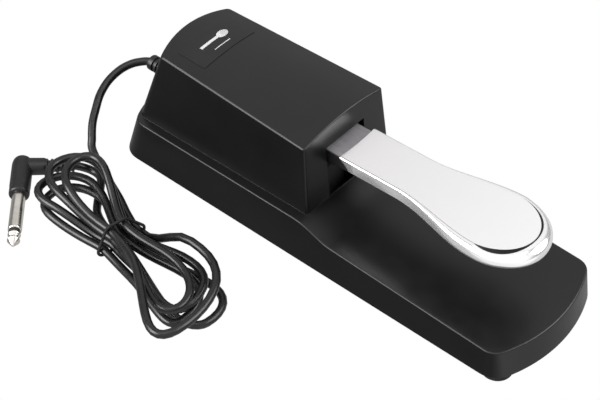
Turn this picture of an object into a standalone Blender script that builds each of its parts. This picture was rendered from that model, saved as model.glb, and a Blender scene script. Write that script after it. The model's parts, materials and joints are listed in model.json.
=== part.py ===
"""Sustain pedal: a moulded case, a sprung lever with a plated cap, a switch, a cable hank and a jack plug.

Row frame: +Z up, -Y towards the lever's tip, +Y towards the cable, x = 0 the plane of symmetry.
z = 0 is the underside of the bottom plate; the feet and the cable stand on the floor below it.
Sizes are in millimetres, and MM turns them into the scene's metres.
"""

import math

import bmesh
import bpy
from mathutils import Matrix, Vector

MM = 0.001
GAP = 0.3  # between neighbours that touch on the real object
WALL = 2.5  # of the moulded case
FOOT_HEIGHT = 3.0
FLOOR_Z = -FOOT_HEIGHT

# Case: the base, its deck and the housing over the rear half
BASE_HALF_WIDTH = 35.3
BASE_HALF_LENGTH = 116.0
END_RADIUS = 72.0
CORNER_RADIUS = 6.5
SIDE_DRAFT = 0.065  # mm inwards for each mm up
FRONT_DRAFT = 0.155
REAR_DRAFT = 0.32
LEDGE_Z = 22.7
DECK_FRONT_Z = 14.2
DECK_DIP_Z = 17.9
DECK_DIP_START = -16.0
DECK_DIP_END = 4.0
HOUSING_TOP_Z = 57.8
HOUSING_CROWN = 3.0
HOUSING_FRONT = 4.2
SLOT_HALF_WIDTH = 12.8
SLOT_TOP_Z = 49.8

# Lever: built level about its pivot, then tilted
PIVOT_Y = 78.0
PIVOT_Z = 41.2
REST_TILT = math.radians(1.72)
CAP_TOP = 4.95  # of the cap above the pivot
CAP_SKIN = 0.8
CAP_WALL = 0.9
CAP_REAR = -3.8
CAP_FRONT = -103.3
SHANK_HALF_WIDTH = 12.2
PADDLE_HALF_WIDTH = 20.3
PADDLE_Y = -79.8
FLARE_Y = -33.8
SHANK_DEPTH = 5.9
PADDLE_DEPTH = 7.6
CORE_HALF_WIDTH = 11.0
CORE_DEPTH = 8.8
BARREL_RADIUS = 7.5
CAP_SCREW_Y = (-28.0, -76.0)
FINGER_Y = 61.5

# Bearings, spring and stops
PIN_RADIUS = 2.5
BUSH_RADIUS = 4.0
EAR_INNER = 12.6
EAR_THICKNESS = 1.6
SPRING_Y = 32.0
SPRING_RADIUS = 6.0
SPRING_WIRE = 0.7
SPRING_TURNS = 8
STOP_Y = 14.0
STOP_TOP_Z = 31.5

# Bottom plate, feet and switch board
PLATE_Z = 0.8
PLATE_TOP_Z = 2.8
FOOT_RADIUS = 7.0
FOOT_PLACES = {"front_left": (-26.6, -102.7), "front_right": (26.6, -102.7)}
FOOT_PLACES.update({"rear_left": (-26.0, 94.0), "rear_right": (26.0, 94.0)})
BOARD_Z = 6.3
BOARD_THICKNESS = 1.6
BOARD_SCREWS = {"left": (-15.0, 46.0), "right": (15.0, 46.0)}
BRACKET_Z = 6.3
BRACKET_SCREWS = {"left": (-8.0, PIVOT_Y), "right": (8.0, PIVOT_Y)}
SLIDER_Y = 51.0
SLIDER_TRAVEL = 3.0

# Cable, hank and plug
CABLE_RADIUS = 1.95
EXIT_Z = 24.0
RELIEF_RADIUS = 3.15
HANK_CENTRE = (-77.5, 67.2)
HANK_SKEW = math.radians(10.5)
HANK_COLUMN = 4.5  # width of one strand's place at the tie
HANK_LEVEL = 4.5  # height from one layer to the next
HANK_RISE = 30.0  # distance from the tie over which a loop climbs to its level
HANK_STEPS = 20  # points in each half loop
TIE_SHIFT = -1.0
HALF_LOOPS = (  # reach from the tie, lean of its end, half widths of its first and second side, level
    (-61.5, 1.0, -8.0, 16.0, 0),
    (42.5, -6.5, 6.0, -17.0, 1),
    (-57.0, -10.0, -12.5, 10.0, 1),
    (46.5, -8.5, 7.0, -15.5, 2),
    (-55.0, -6.0, -10.5, 13.5, 2),
    (49.5, 0.0, 13.0, -11.0, 3),
    (-57.0, -9.5, -14.0, 5.5, 3),
    (41.5, 5.0, 11.5, -8.0, 4),
    (-70.0, -20.0, -22.0, 16.0, 4),
)
TIE_PLACES = (  # column and level of the strand at the tie, between one half loop and the next
    (-0.1, 0), (1, 0), (-2, 0), (-0.1, 1), (-1, 0), (1, 1), (-1, 1), (0.5, 2), (-1, 2), (2.2, 0),
)
CABLE_ENTRY = ((47.5, 15.5), (41, 16), (34.5, 11.5), (28.5, 6), (22, 1.5), (12, -1))  # about the tie
CABLE_LEAD = ((10, 10.2, 0.3), (20, 12.5, 1.0), (34, 15.2, 1.4))  # and the level
CABLE_CLIMB = (  # up to the case
    (-49.5, 113.3, 7.0), (-45.4, 117.8, 9.5), (-40.1, 122.4, 12.5), (-33.9, 126.0, 15.5), (-27.8, 129.0, 18.2),
    (-20.5, 130.6, 20.8), (-13.0, 130.2, 22.8), (-7.0, 128.2, 23.8), (-2.6, 125.2, 24.0), (-0.6, 122.8, 24.0),
    (0, 120.8, 24.0),
)
TIE_WIRE = 0.8
TIE_LIFT = 2.4  # of the bundle over the floor, to let the tie pass under it
PLUG_BACK = (-71.5, 137.6)  # the end of the plug's handle, away from its tip
PLUG_HEADING = math.radians(221.9)
SLEEVE_RADIUS = 3.175
HANDLE_RADIUS = 4.9
HANDLE_LENGTH = 23.4
ARM_OFFSET = 4.4  # of the cable's arm from the back of the handle
ARM_LENGTH = 24.0
ARM_BORE_DEPTH = 9.0

COLOURS = {  # linear colour, roughness, metallic
    "case": ((0.022, 0.022, 0.023), 0.45, 0.0),
    "plate": ((0.02, 0.02, 0.02), 0.6, 0.0),
    "rubber": ((0.015, 0.015, 0.015), 0.85, 0.0),
    "steel": ((0.55, 0.55, 0.56), 0.3, 1.0),
    "chrome": ((0.82, 0.81, 0.82), 0.06, 1.0),
    "nickel": ((0.7, 0.68, 0.64), 0.2, 1.0),
    "core": ((0.09, 0.088, 0.092), 0.4, 0.0),
    "nylon": ((0.75, 0.74, 0.7), 0.5, 0.0),
    "board": ((0.02, 0.14, 0.06), 0.45, 0.0),
    "switch": ((0.012, 0.012, 0.013), 0.4, 0.0),
    "button": ((0.5, 0.04, 0.03), 0.4, 0.0),
    "felt": ((0.08, 0.08, 0.085), 0.95, 0.0),
    "cable": ((0.012, 0.012, 0.012), 0.35, 0.0),
    "red_wire": ((0.45, 0.02, 0.02), 0.4, 0.0),
    "white_wire": ((0.7, 0.7, 0.68), 0.4, 0.0),
    "badge": ((0.03, 0.027, 0.03), 0.3, 0.0),
}


def clear_scene():
    for obj in list(bpy.data.objects):
        bpy.data.objects.remove(obj)


def make_collections():
    """The pedal's own collection, and a hidden one for cutters."""
    groups = {}
    for name in ("sustain_pedal", "cutters"):
        groups[name] = bpy.data.collections.new(name)
        bpy.context.scene.collection.children.link(groups[name])
    return groups["sustain_pedal"], groups["cutters"]


def make_materials():
    found = {}
    for name, (colour, roughness, metallic) in COLOURS.items():
        material = bpy.data.materials.new(name)
        material.use_nodes = True
        shader = material.node_tree.nodes["Principled BSDF"]
        shader.inputs["Base Color"].default_value = (*colour, 1.0)
        shader.inputs["Roughness"].default_value = roughness
        shader.inputs["Metallic"].default_value = metallic
        found[name] = material
    return found


clear_scene()
PARTS, CUTTERS = make_collections()
MATERIALS = make_materials()


# Building blocks ------------------------------------------------------------------------------


def add_object(name, mesh, material=None, smooth=False):
    obj = bpy.data.objects.new(name, mesh)
    if material:
        PARTS.objects.link(obj)
        obj.data.materials.append(MATERIALS[material])
    else:
        CUTTERS.objects.link(obj)
        obj.hide_render = True
        obj.display_type = "WIRE"
    if smooth:
        mesh.shade_smooth()
        mesh.set_sharp_from_angle(angle=math.radians(35))
    return obj


def mesh_from(bm, name):
    bmesh.ops.recalc_face_normals(bm, faces=bm.faces)
    if bm.calc_volume(signed=True) < 0:
        bmesh.ops.reverse_faces(bm, faces=bm.faces)
    mesh = bpy.data.meshes.new(name)
    bm.to_mesh(mesh)
    bm.free()
    return mesh


def box(name, low, high, material=None):
    bm = bmesh.new()
    bmesh.ops.create_cube(bm, size=1.0)
    low, high = Vector(low) * MM, Vector(high) * MM
    size = high - low
    bmesh.ops.scale(bm, vec=size, verts=bm.verts)
    bmesh.ops.translate(bm, vec=(low + high) / 2, verts=bm.verts)
    return add_object(name, mesh_from(bm, name), material)


TURN_TO = {
    "X": Matrix.Rotation(math.pi / 2, 4, "Y"),
    "Y": Matrix.Rotation(-math.pi / 2, 4, "X"),
    "Z": Matrix.Identity(4),
}


def cylinder(name, base, radius, length, material=None, axis="Z", segments=16):
    """A cylinder that runs from the middle of its base along +axis."""
    bm = bmesh.new()
    bmesh.ops.create_cone(
        bm, cap_ends=True, segments=segments, radius1=radius * MM, radius2=radius * MM, depth=length * MM
    )
    bmesh.ops.translate(bm, vec=(0, 0, length / 2 * MM), verts=bm.verts)
    half_step = Matrix.Rotation(math.pi / segments, 4, "Z")
    bm.transform(Matrix.Translation(Vector(base) * MM) @ TURN_TO[axis] @ half_step)
    return add_object(name, mesh_from(bm, name), material, smooth=True)


def turned(name, profile, place, material=None, steps=16):
    """A turned solid about the local Z axis. profile is (radius, height), down its outer side."""
    mesh = bpy.data.meshes.new(name)
    points = [(r * MM, 0, z * MM) for r, z in profile]
    on_axis = profile[0][0] == 0 and profile[-1][0] == 0
    edges = [(i, i + 1) for i in range(len(points) - 1)]
    if not on_axis:
        edges.append((len(points) - 1, 0))
    mesh.from_pydata(points, edges, [])
    obj = add_object(name, mesh, material)
    obj.matrix_world = place
    screw = obj.modifiers.new("turn", "SCREW")
    screw.steps = steps
    screw.render_steps = steps
    screw.use_merge_vertices = True
    screw.merge_threshold = 0.00001
    screw.use_smooth_shade = True
    return obj


def at(x, y, z, axis="Z"):
    return Matrix.Translation(Vector((x, y, z)) * MM) @ TURN_TO[axis]


def prism(name, outline, low, high, material=None, plane="XY"):
    """An outline in a plane, extruded from low to high along the plane's normal."""
    curve = bpy.data.curves.new(name, "CURVE")
    curve.dimensions = "2D"
    curve.fill_mode = "BOTH"
    curve.extrude = (high - low) / 2 * MM
    spline = curve.splines.new("POLY")
    spline.points.add(len(outline) - 1)
    for point, (a, b) in zip(spline.points, outline):
        point.co = (a * MM, b * MM, 0, 1)
    spline.use_cyclic_u = True
    middle = (low + high) / 2 * MM
    turn = {
        "XY": Matrix.Identity(4),
        "YZ": Matrix(((0, 0, 1, 0), (1, 0, 0, 0), (0, 1, 0, 0), (0, 0, 0, 1))),
        "XZ": Matrix(((1, 0, 0, 0), (0, 0, -1, 0), (0, 1, 0, 0), (0, 0, 0, 1))),
    }[plane]
    shift = Matrix.Translation((0, 0, -middle if plane == "XZ" else middle))
    return curve_to_mesh(curve, name, turn @ shift, material)


def curve_to_mesh(curve, name, place=None, material=None):
    obj = bpy.data.objects.new(name, curve)
    bpy.context.scene.collection.objects.link(obj)
    graph = bpy.context.evaluated_depsgraph_get()
    mesh = bpy.data.meshes.new_from_object(obj.evaluated_get(graph))
    bpy.data.objects.remove(obj)
    bm = bmesh.new()
    bm.from_mesh(mesh)
    bmesh.ops.remove_doubles(bm, verts=bm.verts, dist=0.000005)
    if place:
        bm.transform(place)
    bpy.data.meshes.remove(mesh)
    return add_object(name, mesh_from(bm, name), material)


def tube(name, points, radius, material=None, resolution=2, cyclic=False):
    """A round wire or cable through the points."""
    curve = bpy.data.curves.new(name, "CURVE")
    curve.dimensions = "3D"
    curve.bevel_depth = radius * MM
    curve.bevel_resolution = resolution
    curve.use_fill_caps = not cyclic
    spline = curve.splines.new("POLY")
    spline.points.add(len(points) - 1)
    for point, (x, y, z) in zip(spline.points, points):
        point.co = (x * MM, y * MM, z * MM, 1)
    spline.use_cyclic_u = cyclic
    obj = curve_to_mesh(curve, name, None, material)
    obj.data.shade_smooth()
    return obj


def loft(name, sections, material=None):
    """A closed solid between outlines with the same number of points, each at its own height."""
    bm = bmesh.new()
    rings = []
    for outline, z in sections:
        rings.append([bm.verts.new((x * MM, y * MM, z * MM)) for x, y in outline])
    for lower, upper in zip(rings, rings[1:]):
        for i in range(len(lower)):
            j = (i + 1) % len(lower)
            bm.faces.new((lower[i], lower[j], upper[j], upper[i]))
    bm.faces.new(reversed(rings[0]))
    bm.faces.new(rings[-1])
    bmesh.ops.triangulate(bm, faces=bm.faces)
    return add_object(name, mesh_from(bm, name), material)


def combine(target, other, operation):
    modifier = target.modifiers.new(operation.lower() + "_" + other.name, "BOOLEAN")
    modifier.operation = operation
    modifier.object = other
    modifier.solver = "EXACT"
    return target


def cut(target, *cutters):
    for cutter in cutters:
        combine(target, cutter, "DIFFERENCE")
    return target


def join(target, *others):
    for other in others:
        combine(target, other, "UNION")
    return target


def soften(obj, width, segments=2, angle=35):
    bevel = obj.modifiers.new("soften", "BEVEL")
    bevel.width = width * MM
    bevel.segments = segments
    bevel.limit_method = "ANGLE"
    bevel.angle_limit = math.radians(angle)
    return obj


def ease(x):
    x = min(max(x, 0.0), 1.0)
    return x * x * (3 - 2 * x)


def catmull(points, steps, before=None, after=None):
    """A smooth path through the points, without its last point."""
    points = [Vector(p) for p in points]
    ends = [Vector(before or points[0])] + points + [Vector(after or points[-1])]
    path = []
    for a, b, c, d in zip(ends, ends[1:], ends[2:], ends[3:]):
        for k in range(steps):
            x = k / steps
            bend = (2 * a - 5 * b + 4 * c - d) * x * x + (3 * b - a - 3 * c + d) * x**3
            path.append((2 * b + (c - a) * x + bend) / 2)
    return path


# Case -----------------------------------------------------------------------------------------


def rounded_end(half_width, peak, radius, corner, steps=8):
    """The right-to-left outline of an end at +Y: a corner, a wide arc and the other corner."""
    centre_y = peak - radius
    reach = half_width - corner
    corner_y = centre_y + math.sqrt((radius - corner) ** 2 - reach**2)
    meet = math.atan2(corner_y - centre_y, reach)
    right = []
    for i in range(5):
        angle = meet * i / 4
        right.append((reach + corner * math.cos(angle), corner_y + corner * math.sin(angle)))
    arc = []
    for i in range(1, steps):
        angle = meet + (math.pi - 2 * meet) * i / steps
        arc.append((radius * math.cos(angle), centre_y + radius * math.sin(angle)))
    left = [(-x, y) for x, y in reversed(right)]
    return right + arc + left


def base_outline(z, inset=0.0):
    half = BASE_HALF_WIDTH - SIDE_DRAFT * z - inset
    corner = CORNER_RADIUS - inset
    rear = rounded_end(half, BASE_HALF_LENGTH - REAR_DRAFT * z - inset, END_RADIUS, corner)
    front = rounded_end(half, BASE_HALF_LENGTH - FRONT_DRAFT * z - inset, END_RADIUS, corner)
    return rear + [(-x, -y) for x, y in front]


def housing_outline(z, inset=0.0):
    """Straight over the ledge and tapering to the rear at the top, with every wall drafted."""
    up = (z - LEDGE_Z) / (HOUSING_TOP_Z - LEDGE_Z)

    def between(low, high):
        return low + (high - low) * up

    half_rear = between(29.4, 22.9) - inset
    half_front = between(28.4, 26.4) - inset
    peak = between(107.6, 97.6) - inset
    radius = between(END_RADIUS, 50.0)
    corner = max(between(5.0, 2.6) - inset, 0.8)
    front = between(0.9, HOUSING_FRONT) + inset
    rear = rounded_end(half_rear, peak, radius, corner)
    return rear + [(-half_front, front + 1.2), (-half_front + 1.2, front)] + [
        (half_front - 1.2, front),
        (half_front, front + 1.2),
    ]


def deck_height(y):
    slope = (DECK_DIP_Z - DECK_FRONT_Z) / (DECK_DIP_START + 113.0)
    sloped = DECK_DIP_Z + slope * (y - DECK_DIP_START)
    rise = ease((y - DECK_DIP_START) / (DECK_DIP_END - DECK_DIP_START))
    return sloped + (LEDGE_Z - sloped) * rise


def deck_cutter(name, lower):
    """Everything over the deck and the ledge, as one sweep across the case."""
    points = [(-130.0, deck_height(-130.0) - lower)]
    for i in range(9):
        y = DECK_DIP_START + (DECK_DIP_END - DECK_DIP_START) * i / 8
        points.append((y, deck_height(y) - lower))
    points += [(130.0, LEDGE_Z - lower), (130.0, 45.0), (-130.0, 45.0)]
    return prism(name, points, -50, 50, plane="YZ")


def crown_cutter(name, lower):
    """Everything over the housing's crowned top."""
    radius = (26.4**2 + HOUSING_CROWN**2) / (2 * HOUSING_CROWN)
    centre_z = HOUSING_TOP_Z + HOUSING_CROWN - radius - lower
    points = []
    for i in range(17):
        x = -40 + 5 * i
        points.append((x, centre_z + math.sqrt(radius**2 - x**2)))
    points += [(40, 90), (-40, 90)]
    return prism(name, points, -10, 125, plane="XZ")


def upper_case():
    """The one-piece top moulding: deck, ledge and housing over one open hollow."""
    case = loft("upper_case", [(base_outline(0), 0), (base_outline(28), 28)], "case")
    cut(case, deck_cutter("over_deck", 0))
    housing = loft("housing_form", [(housing_outline(16), 16), (housing_outline(66), 66)])
    cut(housing, crown_cutter("over_crown", 0))
    join(case, housing)
    hollow = loft("base_hollow", [(base_outline(-1, WALL), -1), (base_outline(28, WALL), 28)])
    cut(hollow, deck_cutter("over_hollow", WALL))
    attic = loft("housing_hollow", [(housing_outline(12, WALL), 12), (housing_outline(66, WALL), 66)])
    cut(attic, crown_cutter("over_attic", WALL))
    cut(case, hollow, attic, cylinder("cable_hole", (0, 98, EXIT_Z), 2.95, 20, axis="Y"))
    cut(case, box("slot", (-SLOT_HALF_WIDTH, -6, LEDGE_Z + 0.2), (SLOT_HALF_WIDTH, 9, SLOT_TOP_Z)))
    join(case, box("stop_rib", (-12, 5.5, SLOT_TOP_Z + GAP), (12, 15, 58)))
    for name, (x, y) in FOOT_PLACES.items():
        top = deck_height(y) - WALL + 1.0
        boss = cylinder("boss_" + name, (x, y, PLATE_TOP_Z + GAP), 3.6, top - PLATE_TOP_Z - GAP)
        join(case, boss)
        cut(case, cylinder("boss_hole_" + name, (x, y, 2), 1.6, 8.0))
    return case


def bottom_plate():
    plate = prism("bottom_plate", base_outline(PLATE_TOP_Z, WALL + GAP), PLATE_Z, PLATE_TOP_Z, "plate")
    join(plate, box("rest_pad", (-28, -88, 0), (28, 80, PLATE_Z + 0.5)))
    for name, (x, y) in FOOT_PLACES.items():
        cut(plate, cylinder("plate_hole_" + name, (x, y, 0), 1.8, 6))
    for name, (x, y) in list(BOARD_SCREWS.items()) + list(BRACKET_SCREWS.items()):
        post = cylinder(f"post_{name}_{y:.0f}", (x, y, 2), 3.2, BOARD_Z - GAP - 2)
        hole = cylinder(f"post_hole_{name}_{y:.0f}", (x, y, 1.4), 1.6, 6)
        join(plate, post)
        cut(plate, hole)
    join(plate, box("stop_post", (-8, STOP_Y - 4, 2), (8, STOP_Y + 4, STOP_TOP_Z - 4)))
    join(plate, cylinder("spring_spigot", (0, SPRING_Y, 2), 4.3, 6))
    cut(plate, box("slider_window", (-4.6, SLIDER_Y - 2, -1), (4.6, SLIDER_Y + 2, 4)))
    return plate


def foot(name, x, y):
    rubber = turned(
        "foot_" + name,
        [(1.8, 0.5), (4.3, 0.5), (4.3, -GAP), (FOOT_RADIUS, -GAP)]
        + [(FOOT_RADIUS - 0.3, FLOOR_Z + 0.8), (FOOT_RADIUS - 1.0, FLOOR_Z)]
        + [(3.3, FLOOR_Z), (3.3, -0.9), (1.8, -0.9)],
        at(x, y, 0),
        "rubber",
    )
    screw("case_screw_" + name, (x, y, -1.2), 2.8, 1.3, 9.0, up=True)
    return rubber


def screw(name, seat, head_radius, shank_radius, length, up=False, head=1.5):
    """A pan-head screw whose head's bearing face is at its seat. It points down, or up if asked."""
    profile = [(0, head), (head_radius * 0.75, head), (head_radius, head * 0.5), (head_radius, 0)]
    profile += [(shank_radius, 0), (shank_radius, 0.6 - length), (0, -length)]
    turn = Matrix.Rotation(math.pi, 4, "X") if up else Matrix.Identity(4)
    obj = turned(name, profile, Matrix.Translation(Vector(seat) * MM) @ turn, "steel", steps=12)
    return obj


# Lever ----------------------------------------------------------------------------------------


def add_lever_pivot():
    """An empty on the hinge's axis, tilted as the lever is at rest. The lever's pieces are its children."""
    pivot = bpy.data.objects.new("lever_pivot", None)
    PARTS.objects.link(pivot)
    pivot.location = Vector((0, PIVOT_Y, PIVOT_Z)) * MM
    pivot.rotation_euler.x = -REST_TILT
    return pivot


def on_lever(obj, pivot):
    """Hangs a piece, and whatever is cut from it or joined to it, on the lever's pivot."""
    obj.parent = pivot
    for modifier in obj.modifiers:
        if modifier.type == "BOOLEAN":
            on_lever(modifier.object, pivot)
    return obj


def paddle_half_width(y):
    flare = 0.5 - 0.5 * math.cos(math.pi * min(max((FLARE_Y - y) / (FLARE_Y - PADDLE_Y), 0), 1))
    return SHANK_HALF_WIDTH + (PADDLE_HALF_WIDTH - SHANK_HALF_WIDTH) * flare


def cap_outline(inset=0.0, rear=CAP_REAR):
    """Plan outline about the pivot: a straight shank, a flare and a half ellipse."""
    right = [(SHANK_HALF_WIDTH - inset, rear)]
    for i in range(9):
        y = FLARE_Y + (PADDLE_Y - FLARE_Y) * i / 8
        right.append((paddle_half_width(y) - inset, y))
    for i in range(1, 8):
        angle = math.pi / 2 * i / 8
        reach = PADDLE_Y - CAP_FRONT - inset
        right.append(((PADDLE_HALF_WIDTH - inset) * math.cos(angle), PADDLE_Y - reach * math.sin(angle)))
    front = [(0, CAP_FRONT + inset)]
    left = [(-x, y) for x, y in reversed(right)]
    return [(x, y - PIVOT_Y) for x, y in right + front + left]


def side_profile(points):
    """Side-view points given along the row, moved to the pivot."""
    return [(y - PIVOT_Y, z + CAP_TOP) for y, z in points]


def lever_cap():
    """The plated cap: a skin over the core, with side walls that deepen towards the paddle."""
    cap = prism("lever_cap", cap_outline(), CAP_TOP - PADDLE_DEPTH, CAP_TOP, "chrome")
    soften(cap, 1.4, 2, 60)
    pocket = prism("cap_pocket", cap_outline(CAP_WALL, rear=0), CAP_TOP - 9, CAP_TOP - CAP_SKIN)
    under = side_profile([(5, -SHANK_DEPTH), (-40, -SHANK_DEPTH), (-78, -9), (-78, -12), (5, -12)])
    rear = side_profile([(5, -0.9), (-3.8, -0.9), (-7.0, -3.0), (-9.5, -6.5), (5, -6.5)])
    cut(cap, pocket, prism("cap_under", under, -40, 40, plane="YZ"))
    cut(cap, prism("cap_rear", rear, -40, 40, plane="YZ"))
    for i, y in enumerate(CAP_SCREW_Y):
        base = (0, y - PIVOT_Y, CAP_TOP - 3.0)
        join(cap, cylinder(f"cap_boss_{i}", base, 2.7, 2.6))
        cut(cap, cylinder(f"cap_boss_hole_{i}", (0, y - PIVOT_Y, CAP_TOP - 4), 1.4, 3.0))
    return cap


def lever_core():
    """The moulded beam: its barrel turns on the pin, and its front fills the cap."""
    top = -CAP_SKIN - GAP
    beam = side_profile([(84, top), (84, -CORE_DEPTH), (4, -CORE_DEPTH), (-20, -6.4), (-90, -6.4), (-90, top)])
    core = prism("lever_core", beam, -CORE_HALF_WIDTH, CORE_HALF_WIDTH, "core", plane="YZ")
    paddle = prism("core_paddle", cap_outline(CAP_WALL + GAP, rear=-12), CAP_TOP - 6.4, CAP_TOP + top)
    barrel = cylinder("core_barrel", (-CORE_HALF_WIDTH, 0, 0), BARREL_RADIUS, 2 * CORE_HALF_WIDTH, axis="X")
    low, high = FINGER_Y - 4 - PIVOT_Y, FINGER_Y + 4 - PIVOT_Y
    finger = box("core_finger", (-3, low, 20.2 - PIVOT_Z), (3, high, 0))
    spigot = cylinder("core_spigot", (0, SPRING_Y - PIVOT_Y, -7.5), 4.3, 6)
    join(core, paddle, barrel, finger, spigot)
    cut(core, cylinder("core_bore", (-14, 0, 0), BUSH_RADIUS + GAP, 28, axis="X"))
    for i, y in enumerate(CAP_SCREW_Y):
        spot = (0, y - PIVOT_Y)
        cut(core, cylinder(f"core_pocket_{i}", (*spot, CAP_TOP - 3.3), 3.1, 4))
        cut(core, cylinder(f"core_screw_hole_{i}", (*spot, CAP_TOP - 9), 1.5, 8))
        cut(core, cylinder(f"core_recess_{i}", (*spot, CAP_TOP - 9), 2.7, 4.4))
    return core


def cap_screws():
    places = zip(("rear", "front"), CAP_SCREW_Y)
    return [
        screw("cap_screw_" + name, (0, y - PIVOT_Y, CAP_TOP - 4.9), 2.3, 1.1, 3.4, up=True, head=1.2)
        for name, y in places
    ]


def pivot_bushes():
    """Flanged nylon bushes, one in each end of the barrel."""
    flange = CORE_HALF_WIDTH + GAP
    bore = PIN_RADIUS + GAP
    profile = [(bore, flange + 1.0), (6.2, flange + 1.0), (6.2, flange), (BUSH_RADIUS, flange)]
    profile += [(BUSH_RADIUS, 2.0), (bore, 2.0)]
    turns = (("left", -math.pi / 2), ("right", math.pi / 2))
    return [turned("pivot_bush_" + name, profile, Matrix.Rotation(a, 4, "Y"), "nylon") for name, a in turns]


# Pivot, spring and stops ------------------------------------------------------------------------


def pivot_bracket():
    """A folded steel bracket: a base screwed to the plate and two ears for the pin."""
    outer = EAR_INNER + EAR_THICKNESS
    base_top = BRACKET_Z + EAR_THICKNESS
    shape = [(-outer, 49), (-outer, BRACKET_Z), (outer, BRACKET_Z), (outer, 49)]
    shape += [(EAR_INNER, 49), (EAR_INNER, base_top), (-EAR_INNER, base_top), (-EAR_INNER, 49)]
    bracket = prism("pivot_bracket", shape, PIVOT_Y - 8, PIVOT_Y + 8, "steel", plane="XZ")
    pin_hole = cylinder("bracket_pin_hole", (-20, PIVOT_Y, PIVOT_Z), PIN_RADIUS + GAP, 40, axis="X")
    cut(bracket, pin_hole)
    for name, (x, y) in BRACKET_SCREWS.items():
        cut(bracket, cylinder("bracket_hole_" + name, (x, y, BRACKET_Z - 1), 1.7, 5))
        screw("bracket_screw_" + name, (x, y, base_top + GAP), 2.8, 1.3, 5.5)
    return bracket


def pivot_pin():
    """The pin, with a groove for a clip near each end."""
    groove = EAR_INNER + EAR_THICKNESS + 0.4
    half = groove + 3.0
    profile = [(0, half), (PIN_RADIUS - 0.5, half), (PIN_RADIUS, half - 0.5)]
    for side in (1, -1):
        outer, inner = (groove + 1.4, groove) if side > 0 else (-groove, -groove - 1.4)
        profile += [(PIN_RADIUS, outer), (1.8, outer), (1.8, inner), (PIN_RADIUS, inner)]
    profile += [(PIN_RADIUS, 0.5 - half), (PIN_RADIUS - 0.5, -half), (0, -half)]
    turned("pivot_pin", profile, at(0, PIVOT_Y, PIVOT_Z, "X"), "steel")
    for name, side in (("left", -1), ("right", 1)):
        low = side * (groove + 0.7) - 0.4
        e_clip("pin_clip_" + name, low)


def e_clip(name, low):
    """An open ring in the pin's groove, its mouth facing down."""
    outline = []
    for radius, first, sweep in ((4.4, -50, 280), (2.1, 230, -280)):
        for i in range(13):
            angle = math.radians(first + sweep * i / 12)
            outline.append((PIVOT_Y + radius * math.cos(angle), PIVOT_Z + radius * math.sin(angle)))
    return prism(name, outline, low, low + 0.8, "steel", plane="YZ")


def return_spring():
    """A compression spring between the plate and the core, its ends closed by half a turn."""
    bottom = PLATE_TOP_Z + GAP + SPRING_WIRE + 0.1
    top = 37.4
    points = []
    steps = 14
    for i in range(SPRING_TURNS * steps + 1):
        turn = i / steps
        angle = 2 * math.pi * turn
        rise = ease(turn / SPRING_TURNS) * 0.35 + (turn / SPRING_TURNS) * 0.65
        z = bottom + (top - bottom) * rise
        points.append((SPRING_RADIUS * math.cos(angle), SPRING_Y + SPRING_RADIUS * math.sin(angle), z))
    return tube("return_spring", points, SPRING_WIRE, "steel", resolution=1)


def stops():
    box("down_stop_pad", (-8, STOP_Y - 4, STOP_TOP_Z - 3.7), (8, STOP_Y + 4, STOP_TOP_Z), "rubber")
    box("up_stop_felt", (-10, 6.5, 47.6), (10, 14, SLOT_TOP_Z), "felt")


# Switch and board -------------------------------------------------------------------------------


def switch_board():
    top = BOARD_Z + BOARD_THICKNESS
    board = box("switch_board", (-20, 42, BOARD_Z), (20, 66, top), "board")
    for name, (x, y) in BOARD_SCREWS.items():
        cut(board, cylinder("board_hole_" + name, (x, y, BOARD_Z - 1), 1.6, 5))
        screw("board_screw_" + name, (x, y, top + GAP), 2.4, 1.3, 5.0)
    return board


def foot_switch():
    bottom = BOARD_Z + BOARD_THICKNESS + GAP
    body = box("switch_body", (-10, FINGER_Y - 3.2, bottom), (10, FINGER_Y + 3.2, 18.2), "switch")
    soften(body, 0.4, 1)
    cut(body, box("button_pocket", (-1.9, FINGER_Y - 1.9, 14.2), (1.9, FINGER_Y + 1.9, 20)))
    box("switch_button", (-1.5, FINGER_Y - 1.5, 16.9), (1.5, FINGER_Y + 1.5, 19.9), "button")


def polarity_switch():
    """A slide switch under the board, reached through a window in the plate."""
    low = PLATE_TOP_Z + GAP
    body = box("polarity_body", (-6.5, SLIDER_Y - 3.5, low), (6.5, SLIDER_Y + 3.5, BOARD_Z - GAP), "steel")
    cut(body, box("slider_pocket", (-4.6, SLIDER_Y - 1.9, low - 1), (4.6, SLIDER_Y + 1.9, 5.2)))
    middle = -SLIDER_TRAVEL / 2
    box("polarity_slider", (middle - 1.8, SLIDER_Y - 1.5, 0.5), (middle + 1.8, SLIDER_Y + 1.5, 4.8), "switch")


def inner_wires():
    for name, side, material in (("signal", -1, "red_wire"), ("ground", 1, "white_wire")):
        way = [(1.0, 99.2, EXIT_Z), (2.2, 93, 22), (3.6, 82, 15), (4.5, 72, 11), (5.0, 65.3, 8.9)]
        points = [(side * x, y, z) for x, y, z in way]
        tube("wire_" + name, catmull(points, 4) + [Vector(points[-1])], 0.6, material, resolution=1)


# Cable and plug -----------------------------------------------------------------------------------


def half_loop_point(index, share):
    """A point of one half loop, from the tie out to its end and back: share runs from 0 to 1."""
    reach, lean, first, second, level = HALF_LOOPS[index]
    side = first if share < 0.5 else second
    column, tie_level = TIE_PLACES[index + (share >= 0.5)]
    tie = column * HANK_COLUMN + TIE_SHIFT
    out = math.sin(math.pi * share)
    bulge = out**1.3 / 0.683 if reach > 0 else out**1.8 / 0.603
    along = reach * out
    width = tie + (1.5 * (side - 0.3 * lean) - tie) * bulge
    across = abs(math.cos(math.pi * share)) * width + lean * out**3
    climb = ease((abs(along) - 2) / HANK_RISE)
    return hank_to_row(along, across, tie_level + (level - tie_level) * climb)


def tie_lift(along):
    return TIE_LIFT * math.exp(-((along / 14) ** 2))


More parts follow.
